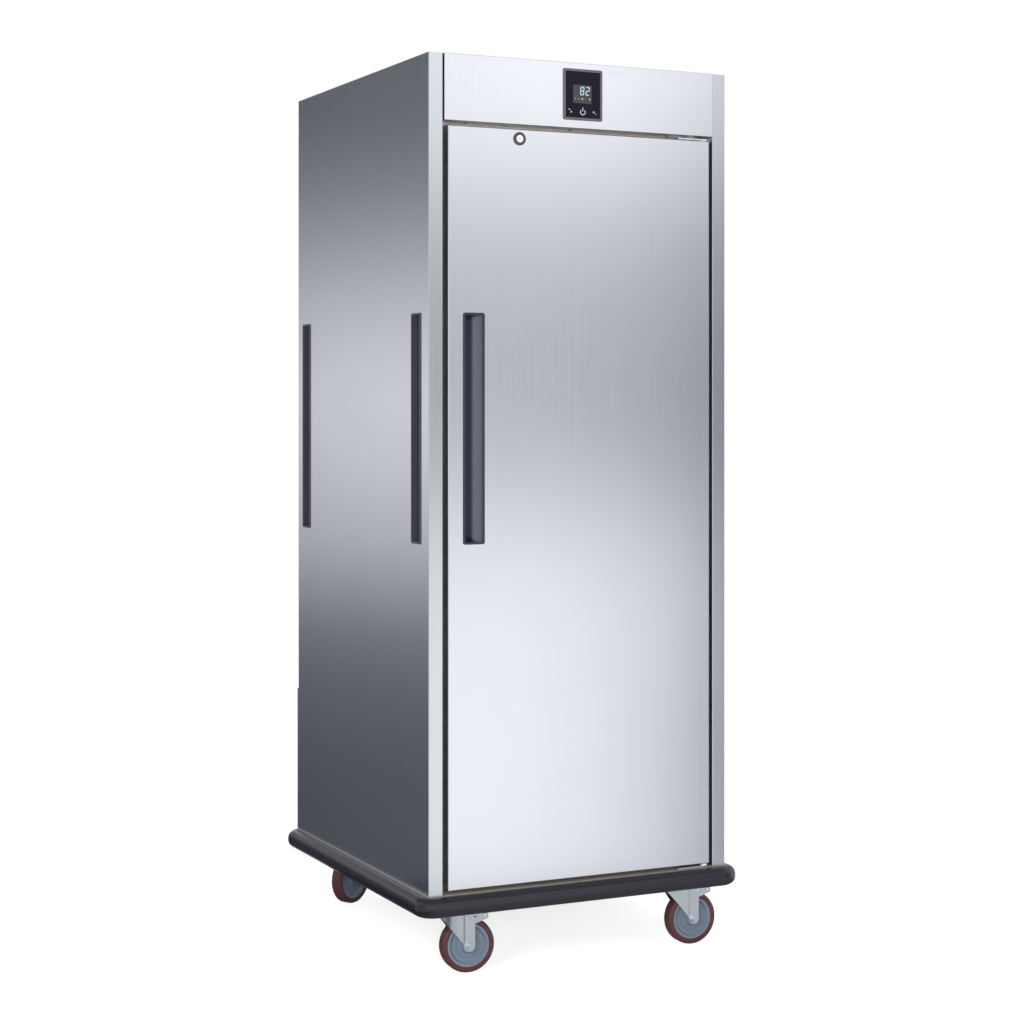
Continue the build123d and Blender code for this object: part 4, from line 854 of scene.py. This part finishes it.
# %% Display and digits
display_glow = moulded(
    "display_glow", (0.05, 0.046, 0.05), 0.3, 0.0008, 0.0, scuff=0.05, Specular_IOR_Level=0.2
)
digit_light, place = new_material("digit_light")
flicker = place.speckle(0.002, detail=1.0)
close_material(
    digit_light,
    place,
    Base_Color=(0.02, 0.05, 0.06, 1.0),
    Emission_Color=flicker.between(0.2, 0.8).tint((0.5, 0.8, 0.9), (0.65, 0.9, 1.0)),
    Emission_Strength=0.8,
    Roughness=0.3,
)
mark_print = moulded("mark_print", (0.5, 0.5, 0.52), 0.4, 0.0005, 0.0, scuff=0.1)

window_width = 45.6
window_height = 40.4
mesh = bmesh.new()
add_mark(mesh, 4, window_width, window_height, -1.3, 1.2)
finished(mesh, "display_window", display_glow, "root")

digit_width = 10.4
digit_height = 19.5
stroke = 2.6
digit_z = 8.5
digit_lean = 0.09
level_gap = 0.8
upright_gap = 0.6
bars = {
    "top": (0, 1), "middle": (0, 0), "bottom": (0, -1),
    "upper_left": (-1, 0.5), "upper_right": (1, 0.5),
    "lower_left": (-1, -0.5), "lower_right": (1, -0.5),
}
digits = [
    (-1.8, ["top", "middle", "bottom", "upper_left", "upper_right", "lower_left", "lower_right"]),
    (11.6, ["top", "middle", "bottom", "upper_right", "lower_left"]),
]
mesh = bmesh.new()
for digit_x, lit in digits:
    for name in lit:
        across, up = bars[name]
        bar_x = digit_x + across * (digit_width - stroke) / 2
        bar_z = up * (digit_height - stroke) / 2
        length = digit_width - level_gap if across == 0 else digit_height / 2 - upright_gap
        bar_turn = 90.0 * abs(across)
        bar = add_mark(mesh, 6, length, stroke, bar_x, digit_z + bar_z, bar_turn, layer=1)
        middle_z = panel_z + digit_z * mm
        for vert in bar:
            vert.co.x += digit_lean * (vert.co.z - middle_z)
finished(mesh, "display_digits", digit_light, "root")

# %% Status marks and touch marks
status_size = 3.2
status_z = -9.3
status_marks = ((-18.9, 3, 0.0), (-10.7, 3, 180.0), (-1.3, 4, 45.0), (16.5, 6, 0.0))
mesh = bmesh.new()
for mark_x, sides, turn in status_marks:
    add_mark(mesh, sides, status_size, status_size, mark_x, status_z, turn, layer=1)
finished(mesh, "status_marks", mark_print, "root")

mesh = bmesh.new()
marks_z = -38.0
add_mark(mesh, 3, 5.4, 5.0, -28.8, marks_z - 1.0, -90.0)
add_mark(mesh, 4, 5.0, 1.4, -33.2, marks_z + 4.0, -35.0)
add_mark(mesh, 3, 5.8, 5.4, 26.8, marks_z + 1.4, 90.0)
add_mark(mesh, 4, 3.2, 1.2, 31.0, marks_z - 2.2)
add_mark(mesh, 4, 1.7, 8.0, -0.4, marks_z + 5.9)
ring_radius = 5.9 * mm
ring_half = 0.85 * mm
ring_start = math.radians(-42.0)
ring_sweep = math.radians(264.0)
around = bmesh.ops.create_grid(mesh, x_segments=1, y_segments=1, size=0.5)["verts"]
bmesh.ops.scale(mesh, vec=(2 * ring_half, mark_layer, 1.0), verts=around)
centre = (-0.4 * mm, glass_low[1] - mark_layer / 2, panel_z + marks_z * mm)
start = (centre[0] + ring_radius, centre[1], centre[2])
bmesh.ops.translate(mesh, vec=start, verts=around)
turn = Matrix.Rotation(ring_start, 3, "Y")
bmesh.ops.rotate(mesh, cent=centre, matrix=turn, verts=around)
profile = list({f for v in around for f in v.link_faces})
bmesh.ops.spin(
    mesh, geom=profile, cent=centre, axis=(0.0, 1.0, 0.0), angle=ring_sweep, steps=24
)
finished(mesh, "touch_marks", mark_print, "root")
